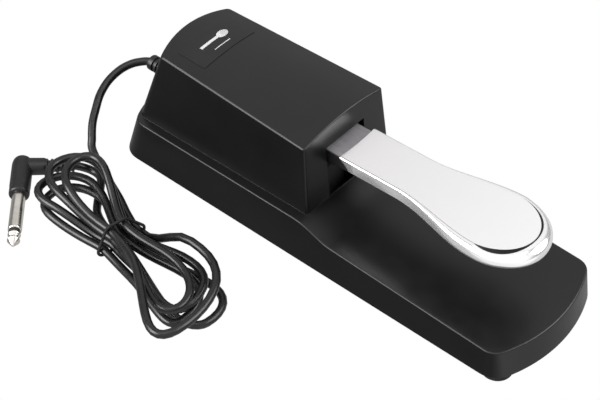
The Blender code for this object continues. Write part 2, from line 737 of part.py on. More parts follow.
def hank_to_row(along, across, level=0.0):
    """From the hank's own axes about its tie to the case's, at the height of a layer."""
    sin, cos = math.sin(HANK_SKEW), math.cos(HANK_SKEW)
    x = HANK_CENTRE[0] + sin * along + cos * across
    y = HANK_CENTRE[1] + cos * along - sin * across
    return Vector((x, y, FLOOR_Z + CABLE_RADIUS + 0.05 + level * HANK_LEVEL + tie_lift(along)))


def plug_axes():
    """Unit vectors along the plug and along its arm, both level."""
    along = Vector((math.cos(PLUG_HEADING), math.sin(PLUG_HEADING), 0))
    return along, Vector((-along.y, along.x, 0))


def arm_root():
    """Where the arm's axis meets the handle's axis, with the handle lying on the floor."""
    along = plug_axes()[0]
    return Vector((*PLUG_BACK, FLOOR_Z + HANDLE_RADIUS + 0.1)) + along * ARM_OFFSET


def cable_path():
    """From the plug's arm, across the tie, round the hank and up to the case."""
    arm = plug_axes()[1]
    entry = [arm_root() + arm * (ARM_LENGTH - reach) for reach in (ARM_BORE_DEPTH - 1.5, 4.0, -1.0)]
    entry += [hank_to_row(*place) for place in CABLE_ENTRY]
    steps = [i / HANK_STEPS for i in range(HANK_STEPS)]
    hank = [half_loop_point(index, share) for index in range(len(HALF_LOOPS)) for share in steps]
    end = half_loop_point(len(HALF_LOOPS) - 1, 1.0)
    lead = [end] + [hank_to_row(*place) for place in CABLE_LEAD]
    lead += [*CABLE_CLIMB, (0, 117.0, EXIT_Z), (0, 110.0, EXIT_Z), (0, 99.9, EXIT_Z)]
    path = catmull(entry + [hank[0]], 4, after=hank[2]) + hank
    return path + catmull(lead, 4, before=hank[-2]) + [Vector(lead[-1])]


def cable_tie():
    """A wire loop round the bundle: the hull of its strands, from their support in each direction."""
    strands = [(column * HANK_COLUMN + TIE_SHIFT, level * HANK_LEVEL) for column, level in TIE_PLACES]
    reach = CABLE_RADIUS + TIE_WIRE + 0.35
    loop = []
    for i in range(28):
        angle = 2 * math.pi * i / 28
        toward = Vector((math.cos(angle), math.sin(angle)))
        far = max((Vector(s) for s in strands), key=lambda s: s.dot(toward))
        place = far + toward * reach
        loop.append(hank_to_row(0, place.x, place.y / HANK_LEVEL))
    return tube("cable_tie", loop, TIE_WIRE, "rubber", resolution=1, cyclic=True)


def strain_relief():
    """A moulded bush on the cable, gripping the rear wall, with a ribbed tail outside."""
    bore = CABLE_RADIUS + 0.25
    profile = [(bore, 119.0), (bore + 0.3, 121.5), (RELIEF_RADIUS - 0.5, 121.5), (RELIEF_RADIUS, 120.6), (RELIEF_RADIUS, 118.6)]
    for y in (118.0, 115.6):
        profile += [(RELIEF_RADIUS - 0.5, y), (RELIEF_RADIUS - 0.5, y - 1.0), (RELIEF_RADIUS, y - 1.5)]
    profile += [(RELIEF_RADIUS, 109.8), (2.65, 109.8), (2.65, 103.0), (3.9, 103.0), (3.9, 100.6), (bore, 100.6)]
    return turned("strain_relief", profile, at(0, 0, EXIT_Z, "Y"), "rubber")


def plug_place(offset=0.0):
    """A frame whose Z runs from the back of the plug's handle towards its tip."""
    turn = Matrix.Rotation(PLUG_HEADING, 4, "Z") @ Matrix.Rotation(math.pi / 2, 4, "Y")
    back = arm_root() - plug_axes()[0] * ARM_OFFSET
    return Matrix.Translation(back * MM) @ turn @ Matrix.Translation((0, 0, offset * MM))


def arm_place():
    turn = plug_axes()[1].to_track_quat("Z", "Y").to_matrix().to_4x4()
    return Matrix.Translation(arm_root() * MM) @ turn


def plug():
    """A moulded right-angle handle, with a nickel sleeve, an insulating ring and a tip."""
    end = HANDLE_LENGTH
    body = [(0, end), (4.2, end), (HANDLE_RADIUS - 0.1, end - 0.8), (HANDLE_RADIUS - 0.1, end - 5)]
    body += [(HANDLE_RADIUS, end - 5.6), (HANDLE_RADIUS, 3.0), (4.3, 0.8), (2.6, -0.3), (0, -0.6)]
    handle = turned("plug_handle", body, plug_place(), "cable")
    end = ARM_LENGTH
    arm = [(0, end), (2.9, end), (3.0, end - 1.0)]
    for i in range(4):
        rib = end - 1.6 - 2.6 * i
        arm += [(2.6 + 0.1 * i, rib), (2.6 + 0.1 * i, rib - 1.0), (3.1 + 0.1 * i, rib - 1.4)]
    arm += [(4.0, end - 13), (4.1, 3.0), (3.6, 0.0), (0, 0.0)]
    join(handle, turned("plug_arm", arm, arm_place()))
    bore_end = end - ARM_BORE_DEPTH
    bore = [(0, end + 5), (2.35, end + 5), (2.35, bore_end), (0, bore_end)]
    cut(handle, turned("arm_bore", bore, arm_place()))
    cut(handle, turned("handle_bore", [(0, 40), (3.5, 40), (3.5, 12), (0, 12)], plug_place()))
    sleeve = [(1.9, 22.4), (SLEEVE_RADIUS - 0.3, 22.4), (SLEEVE_RADIUS, 22.0), (SLEEVE_RADIUS, -8.5), (1.9, -8.5)]
    turned("plug_sleeve", sleeve, plug_place(HANDLE_LENGTH), "nickel")
    ring = [(1.6, 24.0), (2.8, 24.0), (2.8, 22.7), (1.6, 22.7)]
    turned("plug_insulator", ring, plug_place(HANDLE_LENGTH), "switch")
    tip = [(0, 31.8), (0.7, 31.4), (2.95, 28.4), (2.1, 26.9), (2.1, 26.3), (SLEEVE_RADIUS - 0.2, 25.3)]
    tip += [(SLEEVE_RADIUS - 0.2, 24.3), (1.2, 24.3), (1.2, -7.5), (0, -7.5)]
    turned("plug_tip", tip, plug_place(HANDLE_LENGTH), "nickel")


def badge():
    """A thin label that follows the crown at the rear of the housing's top."""
    radius = (26.4**2 + HOUSING_CROWN**2) / (2 * HOUSING_CROWN)
    centre_z = HOUSING_TOP_Z + HOUSING_CROWN - radius
    outline = []
    for rise, turn in ((GAP, 1), (GAP + 0.25, -1)):
        for i in range(9):
            x = turn * (-16.5 + 33 * i / 8)
            outline.append((x, centre_z + math.sqrt((radius + rise) ** 2 - x**2)))
    return prism("badge", outline, 70.5, 86.5, "badge", plane="XZ")


def build():
    upper_case()
    bottom_plate()
    for name, (x, y) in FOOT_PLACES.items():
        foot(name, x, y)
    pivot = add_lever_pivot()
    for piece in (lever_cap(), lever_core(), *cap_screws(), *pivot_bushes()):
        on_lever(piece, pivot)
    pivot_bracket()
    pivot_pin()
    return_spring()
    stops()
    switch_board()
    foot_switch()
    polarity_switch()
    inner_wires()
    strain_relief()
    tube("cable", cable_path(), CABLE_RADIUS, "cable", resolution=1)
    cable_tie()
    plug()
    badge()


build()
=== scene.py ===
import json
import math

import bmesh
import bpy
import numpy as np
from mathutils import Matrix, Vector


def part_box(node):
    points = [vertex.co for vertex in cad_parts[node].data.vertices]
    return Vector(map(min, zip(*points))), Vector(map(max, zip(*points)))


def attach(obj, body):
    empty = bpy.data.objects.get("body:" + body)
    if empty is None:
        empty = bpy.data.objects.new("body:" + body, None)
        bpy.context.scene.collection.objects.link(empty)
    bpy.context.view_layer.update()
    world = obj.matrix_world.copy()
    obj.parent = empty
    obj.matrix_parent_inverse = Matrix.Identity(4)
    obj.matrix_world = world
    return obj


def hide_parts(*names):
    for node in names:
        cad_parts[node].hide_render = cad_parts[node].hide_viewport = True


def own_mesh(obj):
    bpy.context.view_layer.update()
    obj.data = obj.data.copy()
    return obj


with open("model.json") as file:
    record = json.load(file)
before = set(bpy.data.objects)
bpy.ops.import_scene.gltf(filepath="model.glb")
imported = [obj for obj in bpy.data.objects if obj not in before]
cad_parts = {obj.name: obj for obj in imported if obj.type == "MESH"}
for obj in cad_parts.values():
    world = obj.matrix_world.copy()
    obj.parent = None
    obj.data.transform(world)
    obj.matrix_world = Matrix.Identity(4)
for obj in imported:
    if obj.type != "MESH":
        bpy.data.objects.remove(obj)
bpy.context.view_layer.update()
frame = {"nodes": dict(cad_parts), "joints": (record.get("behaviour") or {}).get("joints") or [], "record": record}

# Looks of the sustain pedal. Lengths are in millimetres until MM turns them into the scene's metres.
MM = 0.001
WELD = 0.002  # points closer than this become one


def box_mm(node):
    low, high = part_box(node)
    return low / MM, high / MM


CASE_HIGH = box_mm("upper_case")[1]
CAP_HIGH = box_mm("lever_cap")[1]
FLOOR_Z = box_mm("foot_front_left")[0].z
HINGE = next(joint for joint in frame["joints"] if joint["name"] == "lever_hinge")

# Case
WALL = 2.5
BASE_HALF_WIDTH = CASE_HIGH.x
BASE_HALF_LENGTH = CASE_HIGH.y
END_RADIUS = 72.0
CORNER_RADIUS = 11.0  # at the floor
REAR_CORNER_LOSS = 0.1  # mm of radius for each mm up
FRONT_CORNER_LOSS = 0.25
SIDE_DRAFT = 0.065  # mm inwards for each mm up
FRONT_DRAFT = 0.155
REAR_DRAFT = 0.32
LEDGE_Z = 22.7
DECK_FRONT_Z = 14.2
DECK_FRONT_Y = -113.0
DECK_DIP_Z = 17.9
DECK_DIP_START = -16.0
DECK_DIP_END = 4.0
SHOULDER_Y = 0.6  # where the base's outline starts, beside the housing's front
RIM_ROUND = 0.6
EDGE_ROUND = 0.75
FOOT_ROUND = 0.1
TOP_ROUND = 0.65
INNER_SOFTNESS = 0.3  # roundings of the inner skin, as a share of the outer ones
INNER_CORNER = 0.6  # least radius of the inner skin's corners
ROUND_SHARE = 0.42  # most of the ledge's width that one rounding may take
CABLE_HOLE = 2.9

# Housing: pairs are at its foot and at its top
HOUSING_HALF_REAR = (29.4, 22.9)
HOUSING_HALF_FRONT = (28.4, 26.4)
HOUSING_PEAK = (107.6, 97.6)
HOUSING_END_RADIUS = (END_RADIUS, 50.0)
HOUSING_CORNER = (5.0, 2.6)
HOUSING_FRONT = (0.9, 4.2)
HOUSING_FRONT_CORNER = 1.3
HOUSING_CROWN = 3.0
HOUSING_TOP_Z = CASE_HIGH.z - HOUSING_CROWN
CROWN_RADIUS = (HOUSING_HALF_FRONT[1]**2 + HOUSING_CROWN**2) / (2 * HOUSING_CROWN)
SLOT_HALF_WIDTH = 12.8
SLOT_TOP_Z = box_mm("up_stop_felt")[1].z
LABEL_BASE = 0.1  # over the crown
LABEL_TOP = 0.24
INK = 0.03

# How finely the case's skin is divided
N_CORNER = 6
N_ARC = 24
N_CROSS = 2 * N_CORNER + N_ARC
N_SIDE = 26
N_LEDGE = 4
N_DIP = 16
N_DECK = 22
N_FRONT_CORNER = 3
N_CHEEK = 8  # on each side of the slot
N_SLOT = 8  # up the slot
N_BACK = 2 * N_SIDE + N_CROSS  # round the housing from one front corner to the other
N_AHEAD = N_DIP + N_DECK + N_CORNER

# Lever, about its pivot
PIVOT = Vector(HINGE["pos_m"]) / MM
REST_TILT = math.radians(1.72)
CAP_TOP = 4.95
CAP_SKIN = 0.8
CAP_REAR = -3.8
CAP_FRONT = -103.3
CAP_BOW = 0.5  # of its rear edge, forwards in the middle
TINY = 1e-6
SHANK_HALF_WIDTH = 12.2
PADDLE_HALF_WIDTH = CAP_HIGH.x
PADDLE_Y = -79.8
FLARE_Y = -33.8
CORE_HALF_WIDTH = 11.0
CORE_CORNER = 0.9
CORE_END = 0.6  # how far its ends are cut back
CREASE_SHADE_ROW = 1  # of the faces along the cap's outline: the small step beside its flat top, given a near-black material as painted shade

SPRING_Y = 32.0
SPRING_RADIUS = 6.0
SPRING_WIRE = 0.7
SPRING_TURNS = 8
SPRING_CLOSING = 0.35  # how much closer its end turns lie

# Cable, hank and plug
CABLE_RADIUS = 1.95
EXIT_Z = 24.0
HANK_CENTRE = (-77.5, 67.2)
HANK_SKEW = math.radians(10.5)
HANK_COLUMN = 4.5  # width of one strand's place at the tie
HANK_LEVEL = 4.5  # height from one layer to the next
HANK_RISE = 30.0  # distance from the tie over which a loop climbs to its level
HANK_STEPS = 32  # points in each half loop
REAR_LOOP = (1.3, 0.683)  # how slowly it widens from the tie, and how wide that makes it before scaling
FRONT_LOOP = (1.8, 0.603)
LOOP_FULLNESS = 1.5
LEAN_SHARE = 0.3  # of a loop's lean that its widest place already has
TIE_SHIFT = -1.0
HALF_LOOPS = (  # reach from the tie, lean of its end, half widths of its first and second side, level
    (-61.5, 1.0, -8.0, 16.0, 0),
    (42.5, -6.5, 6.0, -17.0, 1),
    (-57.0, -10.0, -12.5, 10.0, 1),
    (46.5, -8.5, 7.0, -15.5, 2),
    (-55.0, -6.0, -10.5, 13.5, 2),
    (49.5, 0.0, 13.0, -11.0, 3),
    (-57.0, -9.5, -14.0, 5.5, 3),
    (41.5, 5.0, 11.5, -8.0, 4),
    (-70.0, -20.0, -22.0, 16.0, 4),
)
TIE_PLACES = (  # column and level of the strand at the tie, between one half loop and the next
    (-0.1, 0), (1, 0), (-2, 0), (-0.1, 1), (-1, 0), (1, 1), (-1, 1), (0.5, 2), (-1, 2), (2.2, 0),
)
CABLE_ENTRY = ((47.5, 15.5), (41, 16), (34.5, 11.5), (28.5, 6), (22, 1.5), (12, -1))  # about the tie
CABLE_LEAD = ((10, 10.2, 0.3), (20, 12.5, 1.0), (34, 15.2, 1.4))  # and the level
CABLE_CLIMB = (  # up to the case
    (-49.5, 113.3, 7.0), (-45.4, 117.8, 9.5), (-40.1, 122.4, 12.5), (-33.9, 126.0, 15.5),
    (-27.8, 129.0, 18.2), (-20.5, 130.6, 20.8), (-13.0, 130.2, 22.8), (-7.0, 128.2, 23.8),
    (-2.6, 125.2, EXIT_Z), (-0.6, 122.8, EXIT_Z), (0, 120.8, EXIT_Z),
)
TIE_WIRE = 0.8
TIE_LIFT = 2.4
TIE_LIFT_REACH = 14.0
REST_GAP = 0.05  # under the cable
PLUG_BACK = (-71.5, 137.6)
PLUG_HEADING = math.radians(221.9)
SLEEVE_RADIUS = 3.175
HANDLE_RADIUS = 4.9
HANDLE_LENGTH = 23.4
ARM_OFFSET = 4.4
ARM_LENGTH = 24.0
ARM_BORE_DEPTH = 9.0

# Light
FLOOR_SIZE = 4.0  # metres each way
FLOOR_GAP = 0.06
ACROSS_VIEW = (0.75, -0.66, 0.0)
ALONG_VIEW = (-0.75, -0.66, 0.0)
FLOOR_LIGHT = (0.62, 0.38)  # towards the front right, towards the rear left
FLOOR_LIGHT_SPAN = (-0.7, 0.5)
FLOOR_NEAR = 0.5  # more of it towards the viewer
FLOOR_NEAR_SPAN = (-0.6, -0.25)
ROOM_LIGHT = 0.25
SOFTBOXES = (  # direction, inner and outer half angle, strength
    ((0.53, 0.46, 0.71), (24, 44), 0.58),
    ((-0.1, -0.08, 1.0), (12, 26), 2.0),
    ((-0.71, 0.46, 0.53), (16, 28), 12.0),
    ((0.55, -0.6, 0.6), (16, 28), 6.5),
    ((-0.6, -0.52, 0.45), (34, 60), 0.8),
)

# View
LENS = 115.17
VIEW_AZIMUTH = math.radians(-48.9)
VIEW_ELEVATION = math.radians(45.07)
VIEW_ROLL = math.radians(-0.4)
VIEW_FROM = (-471.8, -382.0, 619.3)


# ---- Materials ----


SMOOTH = {"interpolation_type": "SMOOTHSTEP"}


class Graph:
    """A node tree, with short ways to add nodes. Their inputs are plain values or other nodes' outputs."""

    def __init__(self, tree):
        self.nodes = tree.nodes
        self.links = tree.links

    def add(self, kind, inputs=None, output=0, **settings):
        node = self.nodes.new("ShaderNode" + kind)
        for key, value in settings.items():
            setattr(node, key, value)
        for key, value in (inputs or {}).items():
            self.feed(node.inputs[key], value)
        return node.outputs[output]

    def feed(self, socket, value):
        if isinstance(value, bpy.types.NodeSocket):
            self.links.new(value, socket)
        else:
            socket.default_value = value

    def dot(self, value, direction):
        return self.add("VectorMath", {0: value, 1: direction}, "Value", operation="DOT_PRODUCT")

    def spread(self, value, low, high, start=0.3, end=0.7, **settings):
        """Maps start..end of a value to low..high."""
        limits = {"From Min": start, "From Max": end, "To Min": low, "To Max": high}
        return self.add("MapRange", {"Value": value, **limits}, "Result", **settings)

    def blend(self, value, first, second):
        """A colour that goes from one to another with the value."""
        return self.add("Mix", {"Factor": value, 6: first, 7: second}, 2, data_type="RGBA")

    def white_to_camera(self, strength):
        """A strength for all rays but the camera's own, which find plain white."""
        ray = self.add("LightPath", output="Is Camera Ray")
        return self.add("Mix", {"Factor": ray, "A": strength, "B": 1.0}, "Result")


class Shader(Graph):
    """A Principled material under construction."""

    def __init__(self, name, colour, roughness, metallic=0.0, specular=0.5):
        self.material = bpy.data.materials.new(name)
        self.material.use_nodes = True
        self.material.diffuse_color = (*colour, 1.0)
        super().__init__(self.material.node_tree)
        self.inputs = self.nodes["Principled BSDF"].inputs
        self.inputs["Base Color"].default_value = (*colour, 1.0)
        self.inputs["Roughness"].default_value = roughness
        self.inputs["Metallic"].default_value = metallic
        self.inputs["Specular IOR Level"].default_value = specular
        self.place = self.add("TexCoord", output="Object")

    def noise(self, size_mm, detail=3.0, stretch=(1, 1, 1)):
        """Noise whose features are about size_mm across, stretched along the axes."""
        place = self.add("Mapping", {"Vector": self.place, "Scale": [1 / s for s in stretch]})
        return self.add("TexNoise", {"Vector": place, "Scale": 1 / (size_mm * MM), "Detail": detail}, "Fac")

    def facing(self, axis):
        """How far the surface faces along one of the piece's own axes, either way: 0 to 1."""
        part = self.add("SeparateXYZ", {0: self.place.node.outputs["Normal"]}, axis)
        return self.add("Math", {0: part}, operation="ABSOLUTE")

    def roughen(self, value, low, high):
        self.feed(self.inputs["Roughness"], self.spread(value, low, high))

    def tint(self, value, first, second):
        """Base colour that goes from one colour to another with the value."""
        self.feed(self.inputs["Base Color"], self.blend(value, (*first, 1.0), (*second, 1.0)))

    def bump(self, value, height_mm, strength=1.0):
        normal = self.inputs["Normal"]
        relief = {"Height": value, "Distance": height_mm * MM, "Strength": strength}
        if normal.is_linked:
            relief["Normal"] = normal.links[0].from_socket
        self.feed(normal, self.add("Bump", relief))


def case_plastic():
    """Black moulded plastic: satin on top, its walls duller from a spark-eroded grain."""
    shader = Shader("case_plastic", (0.0034, 0.0034, 0.0035), 0.36, specular=0.36)
    cloud = shader.noise(38, 2)
    shader.tint(shader.spread(cloud, 0, 1), (0.0026, 0.0026, 0.0027), (0.0042, 0.0041, 0.0043))
    shader.roughen(shader.noise(9, 3), 0.31, 0.37)
    dulled = shader.spread(shader.facing("X"), 0.36, 0.11, 0.55, 0.88)
    shader.feed(shader.inputs["Specular IOR Level"], dulled)
    shader.bump(shader.noise(0.35, 2), 0.012, 0.4)
    shader.bump(shader.noise(26, 2), 0.02, 0.25)
    return shader.material


def plate_plastic():
    shader = Shader("plate_plastic", (0.013, 0.013, 0.013), 0.6)
    shader.roughen(shader.noise(6, 3), 0.52, 0.68)
    shader.bump(shader.noise(0.5, 3), 0.05, 0.5)
    return shader.material


def rubber():
    shader = Shader("soft_rubber", (0.007, 0.007, 0.007), 0.7, specular=0.25)
    shader.tint(shader.spread(shader.noise(2.5, 4), 0, 1), (0.005, 0.005, 0.005), (0.011, 0.0105, 0.01))
    shader.bump(shader.noise(0.4, 3), 0.05, 0.5)
    return shader.material


def chrome():
    """Bright plating, with painted shade darkening it from the paddle's front towards its rear, a faint unevenness
    and fine wiping marks.
    """
    shader = Shader("chrome", (0.76, 0.745, 0.753), 0.12, metallic=0.82)
    along = shader.add("SeparateXYZ", {0: shader.place}, "Y")
    # painted shade: the plating's colour goes from lighter at the paddle's front to darker at its rear
    front = shader.spread(along, 1, 0, CAP_FRONT * MM, CAP_REAR * MM)
    shader.tint(front, (0.715, 0.7, 0.71), (0.86, 0.85, 0.853))
    marks = shader.noise(0.8, 3, stretch=(1, 9, 1))
    shader.roughen(marks, 0.09, 0.15)
    shader.bump(shader.noise(17, 1), 0.012, 0.3)
    return shader.material


def nickel():
    shader = Shader("nickel", (0.68, 0.65, 0.60), 0.2, metallic=1.0)
    shader.tint(shader.spread(shader.noise(3, 4), 0, 1), (0.74, 0.71, 0.66), (0.6, 0.57, 0.52))
    shader.roughen(shader.noise(0.6, 3), 0.14, 0.28)
    return shader.material


def core_plastic():
    """Satin grey moulding with fine streaks along it; its sides are painted near-black as painted shade, so only
    its top shows the grey.
    """
    shader = Shader("core_plastic", (0.12, 0.117, 0.122), 0.42)
    streaks = shader.noise(0.5, 3, stretch=(1, 14, 1))
    shader.tint(shader.spread(streaks, 0, 1), (0.125, 0.12, 0.127), (0.17, 0.165, 0.173))
    streaked_grey = shader.inputs["Base Color"].links[0].from_socket
    # painted shade: faces that do not face up are blended from the streaked grey to near-black
    level = shader.spread(shader.facing("Z"), 0, 1, 0.6, 0.9)
    shader.feed(shader.inputs["Base Color"], shader.blend(level, (0.008, 0.008, 0.0085, 1.0), streaked_grey))
    shader.roughen(streaks, 0.38, 0.5)
    shader.bump(streaks, 0.01, 0.4)
    return shader.material


def steel(name="zinc_steel", roughness=0.3):
    shader = Shader(name, (0.55, 0.55, 0.56), roughness, metallic=1.0)
    shader.tint(shader.spread(shader.noise(4, 4), 0, 1), (0.6, 0.6, 0.6), (0.45, 0.46, 0.48))
    shader.roughen(shader.noise(0.7, 3, stretch=(1, 6, 1)), roughness - 0.08, roughness + 0.1)
    return shader.material


def cable_jacket():
    shader = Shader("cable_jacket", (0.004, 0.004, 0.004), 0.3, specular=0.4)
    shader.tint(shader.spread(shader.noise(7, 3), 0, 1), (0.003, 0.003, 0.003), (0.006, 0.0057, 0.0054))
    shader.roughen(shader.noise(2.2, 3), 0.26, 0.36)
    shader.bump(shader.noise(0.7, 2), 0.015, 0.4)
    return shader.material


def plug_moulding():
    shader = Shader("plug_moulding", (0.005, 0.005, 0.005), 0.4, specular=0.35)
    shader.roughen(shader.noise(3, 3), 0.32, 0.48)
    shader.bump(shader.noise(0.5, 2), 0.03, 0.4)
    return shader.material


def simple(name, colour, roughness, size=1.5, depth=0.03, specular=0.5):
    """A plain moulded or painted finish with its own grain and a little unevenness in colour."""
    shader = Shader(name, colour, roughness, specular=specular)
    darker = tuple(0.8 * c for c in colour)
    lighter = tuple(min(1.15 * c + 0.001, 1.0) for c in colour)
    shader.tint(shader.spread(shader.noise(4 * size, 3), 0, 1), darker, lighter)
    shader.roughen(shader.noise(size, 3), roughness - 0.06, roughness + 0.06)
    shader.bump(shader.noise(size / 3, 3), depth, 0.4)
    return shader.material


def felt():
    shader = Shader("felt", (0.08, 0.08, 0.085), 0.95, specular=0.2)
    fibres = shader.noise(0.25, 5, stretch=(3, 1, 1))
    shader.tint(fibres, (0.04, 0.04, 0.043), (0.13, 0.13, 0.135))
    shader.bump(fibres, 0.3, 0.8)
    return shader.material


def make_materials():
    return {
        "case": case_plastic(),
        "plate": plate_plastic(),
        "rubber": rubber(),
        "chrome": chrome(),
        "nickel": nickel(),
        "core": core_plastic(),
        "steel": steel(),
        "spring_steel": steel("spring_steel", 0.24),
        "cable": cable_jacket(),
        "plug_body": plug_moulding(),
        "insulator": simple("insulator", (0.01, 0.01, 0.011), 0.4),
        "nylon": simple("nylon", (0.72, 0.7, 0.64), 0.5),
        "felt": felt(),
        "board": simple("board", (0.015, 0.11, 0.045), 0.38, size=0.8),
        "switch": simple("switch", (0.01, 0.01, 0.011), 0.42),
        "button": simple("button", (0.45, 0.03, 0.025), 0.35),
        "red_wire": simple("red_wire", (0.4, 0.02, 0.02), 0.38),
        "white_wire": simple("white_wire", (0.7, 0.7, 0.66), 0.4),
        "badge": simple("badge", (0.0042, 0.0038, 0.0045), 0.36, size=6, depth=0.006, specular=0.35),
        "print": simple("print", (0.36, 0.36, 0.36), 0.55, size=2, depth=0.005),
        # painted shade: near-black for the faces of the cap's small step beside its flat top
        "crease_painted_shade": simple("crease_painted_shade", (0.005, 0.005, 0.0055), 0.5, size=1, depth=0.004, specular=0.12),
    }


MATERIALS = make_materials()


# ---- Mesh helpers ----


def finish_piece(obj, slot, *nodes, body="case", material=None):
    """Gives a new piece its material and body, and hides the CAD nodes it stands for."""
    obj.data.materials.append(MATERIALS[material or slot])
    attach(obj, body)
    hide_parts(*nodes)
    return obj


def link_mesh(name, mesh):
    obj = bpy.data.objects.new(name, mesh)
    bpy.context.scene.collection.objects.link(obj)
    return obj


def from_bmesh(name, bm, place=None, sharp=35):
    """Closes a bmesh in millimetres into an object in metres, smooth but for its sharp edges."""
    bmesh.ops.remove_doubles(bm, verts=bm.verts, dist=WELD)
    bmesh.ops.dissolve_degenerate(bm, edges=bm.edges, dist=WELD / 2)
    bmesh.ops.recalc_face_normals(bm, faces=bm.faces)
    if bm.calc_volume(signed=True) < 0:
        bmesh.ops.reverse_faces(bm, faces=bm.faces)
    bmesh.ops.scale(bm, vec=(MM, MM, MM), verts=bm.verts)
    if place is not None:
        bm.transform(place)
    mesh = bpy.data.meshes.new(name)
    bm.to_mesh(mesh)
    bm.free()
    mesh.shade_smooth()
    mesh.set_sharp_from_angle(angle=math.radians(sharp))
    return link_mesh(name, mesh)


def add_grid(bm, grid, skip=None, second=()):
    """Faces between the rows and columns of a grid of points.

    skip says which (row, column) to leave out. Rows of faces named in second take the second material.
    """
    rows, columns = grid.shape[:2]
    verts = [[bm.verts.new(p) for p in row] for row in grid]
    for i in range(rows - 1):
        for j in range(columns - 1):
            if skip and skip(i, j):
                continue
            corners = (verts[i][j], verts[i][j + 1], verts[i + 1][j + 1], verts[i + 1][j])
            face = bm.faces.new(corners)
            face.material_index = int(i in second)


def join_edges(bm, first, second):
    """Faces between the edges of two grids of the same shape."""
    for pick in (np.s_[0], np.s_[-1], np.s_[:, 0], np.s_[:, -1]):
        add_grid(bm, np.stack([first[pick], second[pick]]))


def add_slab(bm, top, bottom):
    add_grid(bm, top)
    add_grid(bm, bottom)
    join_edges(bm, top, bottom)


def closed_ring(grid):
    """The grid with its first column again at the end."""
    return np.concatenate([grid, grid[:, :1]], axis=1)


def weighted(obj):
    modifier = obj.modifiers.new("flat faces lead", "WEIGHTED_NORMAL")
    modifier.keep_sharp = True


def apply_all(obj):
    """Makes the evaluated mesh the object's own."""
    graph = bpy.context.evaluated_depsgraph_get()
    mesh = bpy.data.meshes.new_from_object(obj.evaluated_get(graph))
    obj.modifiers.clear()
    obj.data = mesh


def combine(obj, other, operation, sharp=40):
    """Cuts another object out of this one, or joins it to this one."""
    modifier = obj.modifiers.new("combine", "BOOLEAN")
    modifier.operation = operation
    modifier.solver = "EXACT"
    modifier.object = other
    apply_all(obj)
    bpy.data.objects.remove(other)
    obj.data.set_sharp_from_angle(angle=math.radians(sharp))


def lathe(name, profile, place, steps=48):
    """A turned solid about Z from (radius, height) points that run down its outer side."""
    bm = bmesh.new()
    angles = np.linspace(0, 2 * math.pi, steps, endpoint=False)
    rings = [[(r * math.cos(a), r * math.sin(a), height) for a in angles] for r, height in profile]
    if profile[0][0] > 0 and profile[-1][0] > 0:
        rings.append(rings[0])
    add_grid(bm, closed_ring(np.array(rings)))
    return from_bmesh(name, bm, place)


ALONG_Y = Matrix.Rotation(-math.pi / 2, 4, "X")


def at(x, y, z):
    return Matrix.Translation(Vector((x, y, z)) * MM)


def rounded(profile, radius, steps=3):
    """A profile whose inner corners are rounded, each by as much as its sides allow."""
    points = [Vector(p) for p in profile]
    out = [points[0]]
    for a, b, c in zip(points, points[1:], points[2:]):
        reach = min(radius, (a - b).length * 0.45, (c - b).length * 0.45)
        first = b + (a - b).normalized() * reach
        last = b + (c - b).normalized() * reach
        for i in range(steps + 1):
            t = i / steps
            out.append(first * (1 - t) ** 2 + b * 2 * t * (1 - t) + last * t**2)
    return [tuple(p) for p in out + [points[-1]]]


def tube_curve(name, points, radius, sides=5, cyclic=False):
    """A round cable as a mesh, from a bevelled poly curve."""
    curve = bpy.data.curves.new(name, "CURVE")
    curve.dimensions = "3D"
    curve.bevel_depth = radius * MM
    curve.bevel_resolution = sides
    curve.use_fill_caps = not cyclic
    spline = curve.splines.new("POLY")
    spline.points.add(len(points) - 1)
    for point, place in zip(spline.points, points):
        point.co = (*(Vector(place) * MM), 1)
    spline.use_cyclic_u = cyclic
    holder = bpy.data.objects.new(name + "_curve", curve)
    bpy.context.scene.collection.objects.link(holder)
    graph = bpy.context.evaluated_depsgraph_get()
    mesh = bpy.data.meshes.new_from_object(holder.evaluated_get(graph))
    bpy.data.objects.remove(holder)
    bm = bmesh.new()
    bm.from_mesh(mesh)
    bpy.data.meshes.remove(mesh)
    bmesh.ops.scale(bm, vec=(1 / MM,) * 3, verts=bm.verts)
    return from_bmesh(name, bm, sharp=60)


def ease(x):
    x = np.clip(x, 0.0, 1.0)
    return x * x * (3 - 2 * x)


def catmull(points, steps, before=None, after=None):
    """A smooth path through the points, without its last point."""
    points = [Vector(p) for p in points]
    ends = [Vector(before or points[0])] + points + [Vector(after or points[-1])]
    path = []
    for a, b, c, d in zip(ends, ends[1:], ends[2:], ends[3:]):
        for k in range(steps):
            x = k / steps
            bend = (2 * a - 5 * b + 4 * c - d) * x * x + (3 * b - a - 3 * c + d) * x**3
            path.append((2 * b + (c - a) * x + bend) / 2)
    return path


# ---- Case ----


def deck_height(y):
    slope = (DECK_DIP_Z - DECK_FRONT_Z) / (DECK_DIP_START - DECK_FRONT_Y)
    sloped = DECK_DIP_Z + slope * (y - DECK_DIP_START)
    rise = ease((y - DECK_DIP_START) / (DECK_DIP_END - DECK_DIP_START))
    return sloped + (LEDGE_Z - sloped) * rise


def crown_height(x):
    return HOUSING_TOP_Z + HOUSING_CROWN - CROWN_RADIUS + np.sqrt(CROWN_RADIUS**2 - x**2)


def arc_points(centre, radius, start, end, steps):
    angles = np.linspace(start, end, steps + 1)
    return np.stack([centre[0] + radius * np.cos(angles), centre[1] + radius * np.sin(angles)], axis=1)


def line_points(start, end, steps):
    return np.linspace(start, end, steps + 1)


def chain(*runs):
    """Runs of points joined end to end, each run's first point being the last one's end."""
    return np.concatenate([runs[0]] + [run[1:] for run in runs[1:]])


def mirrored(run):
    return run[::-1] * np.array([-1.0, 1.0])


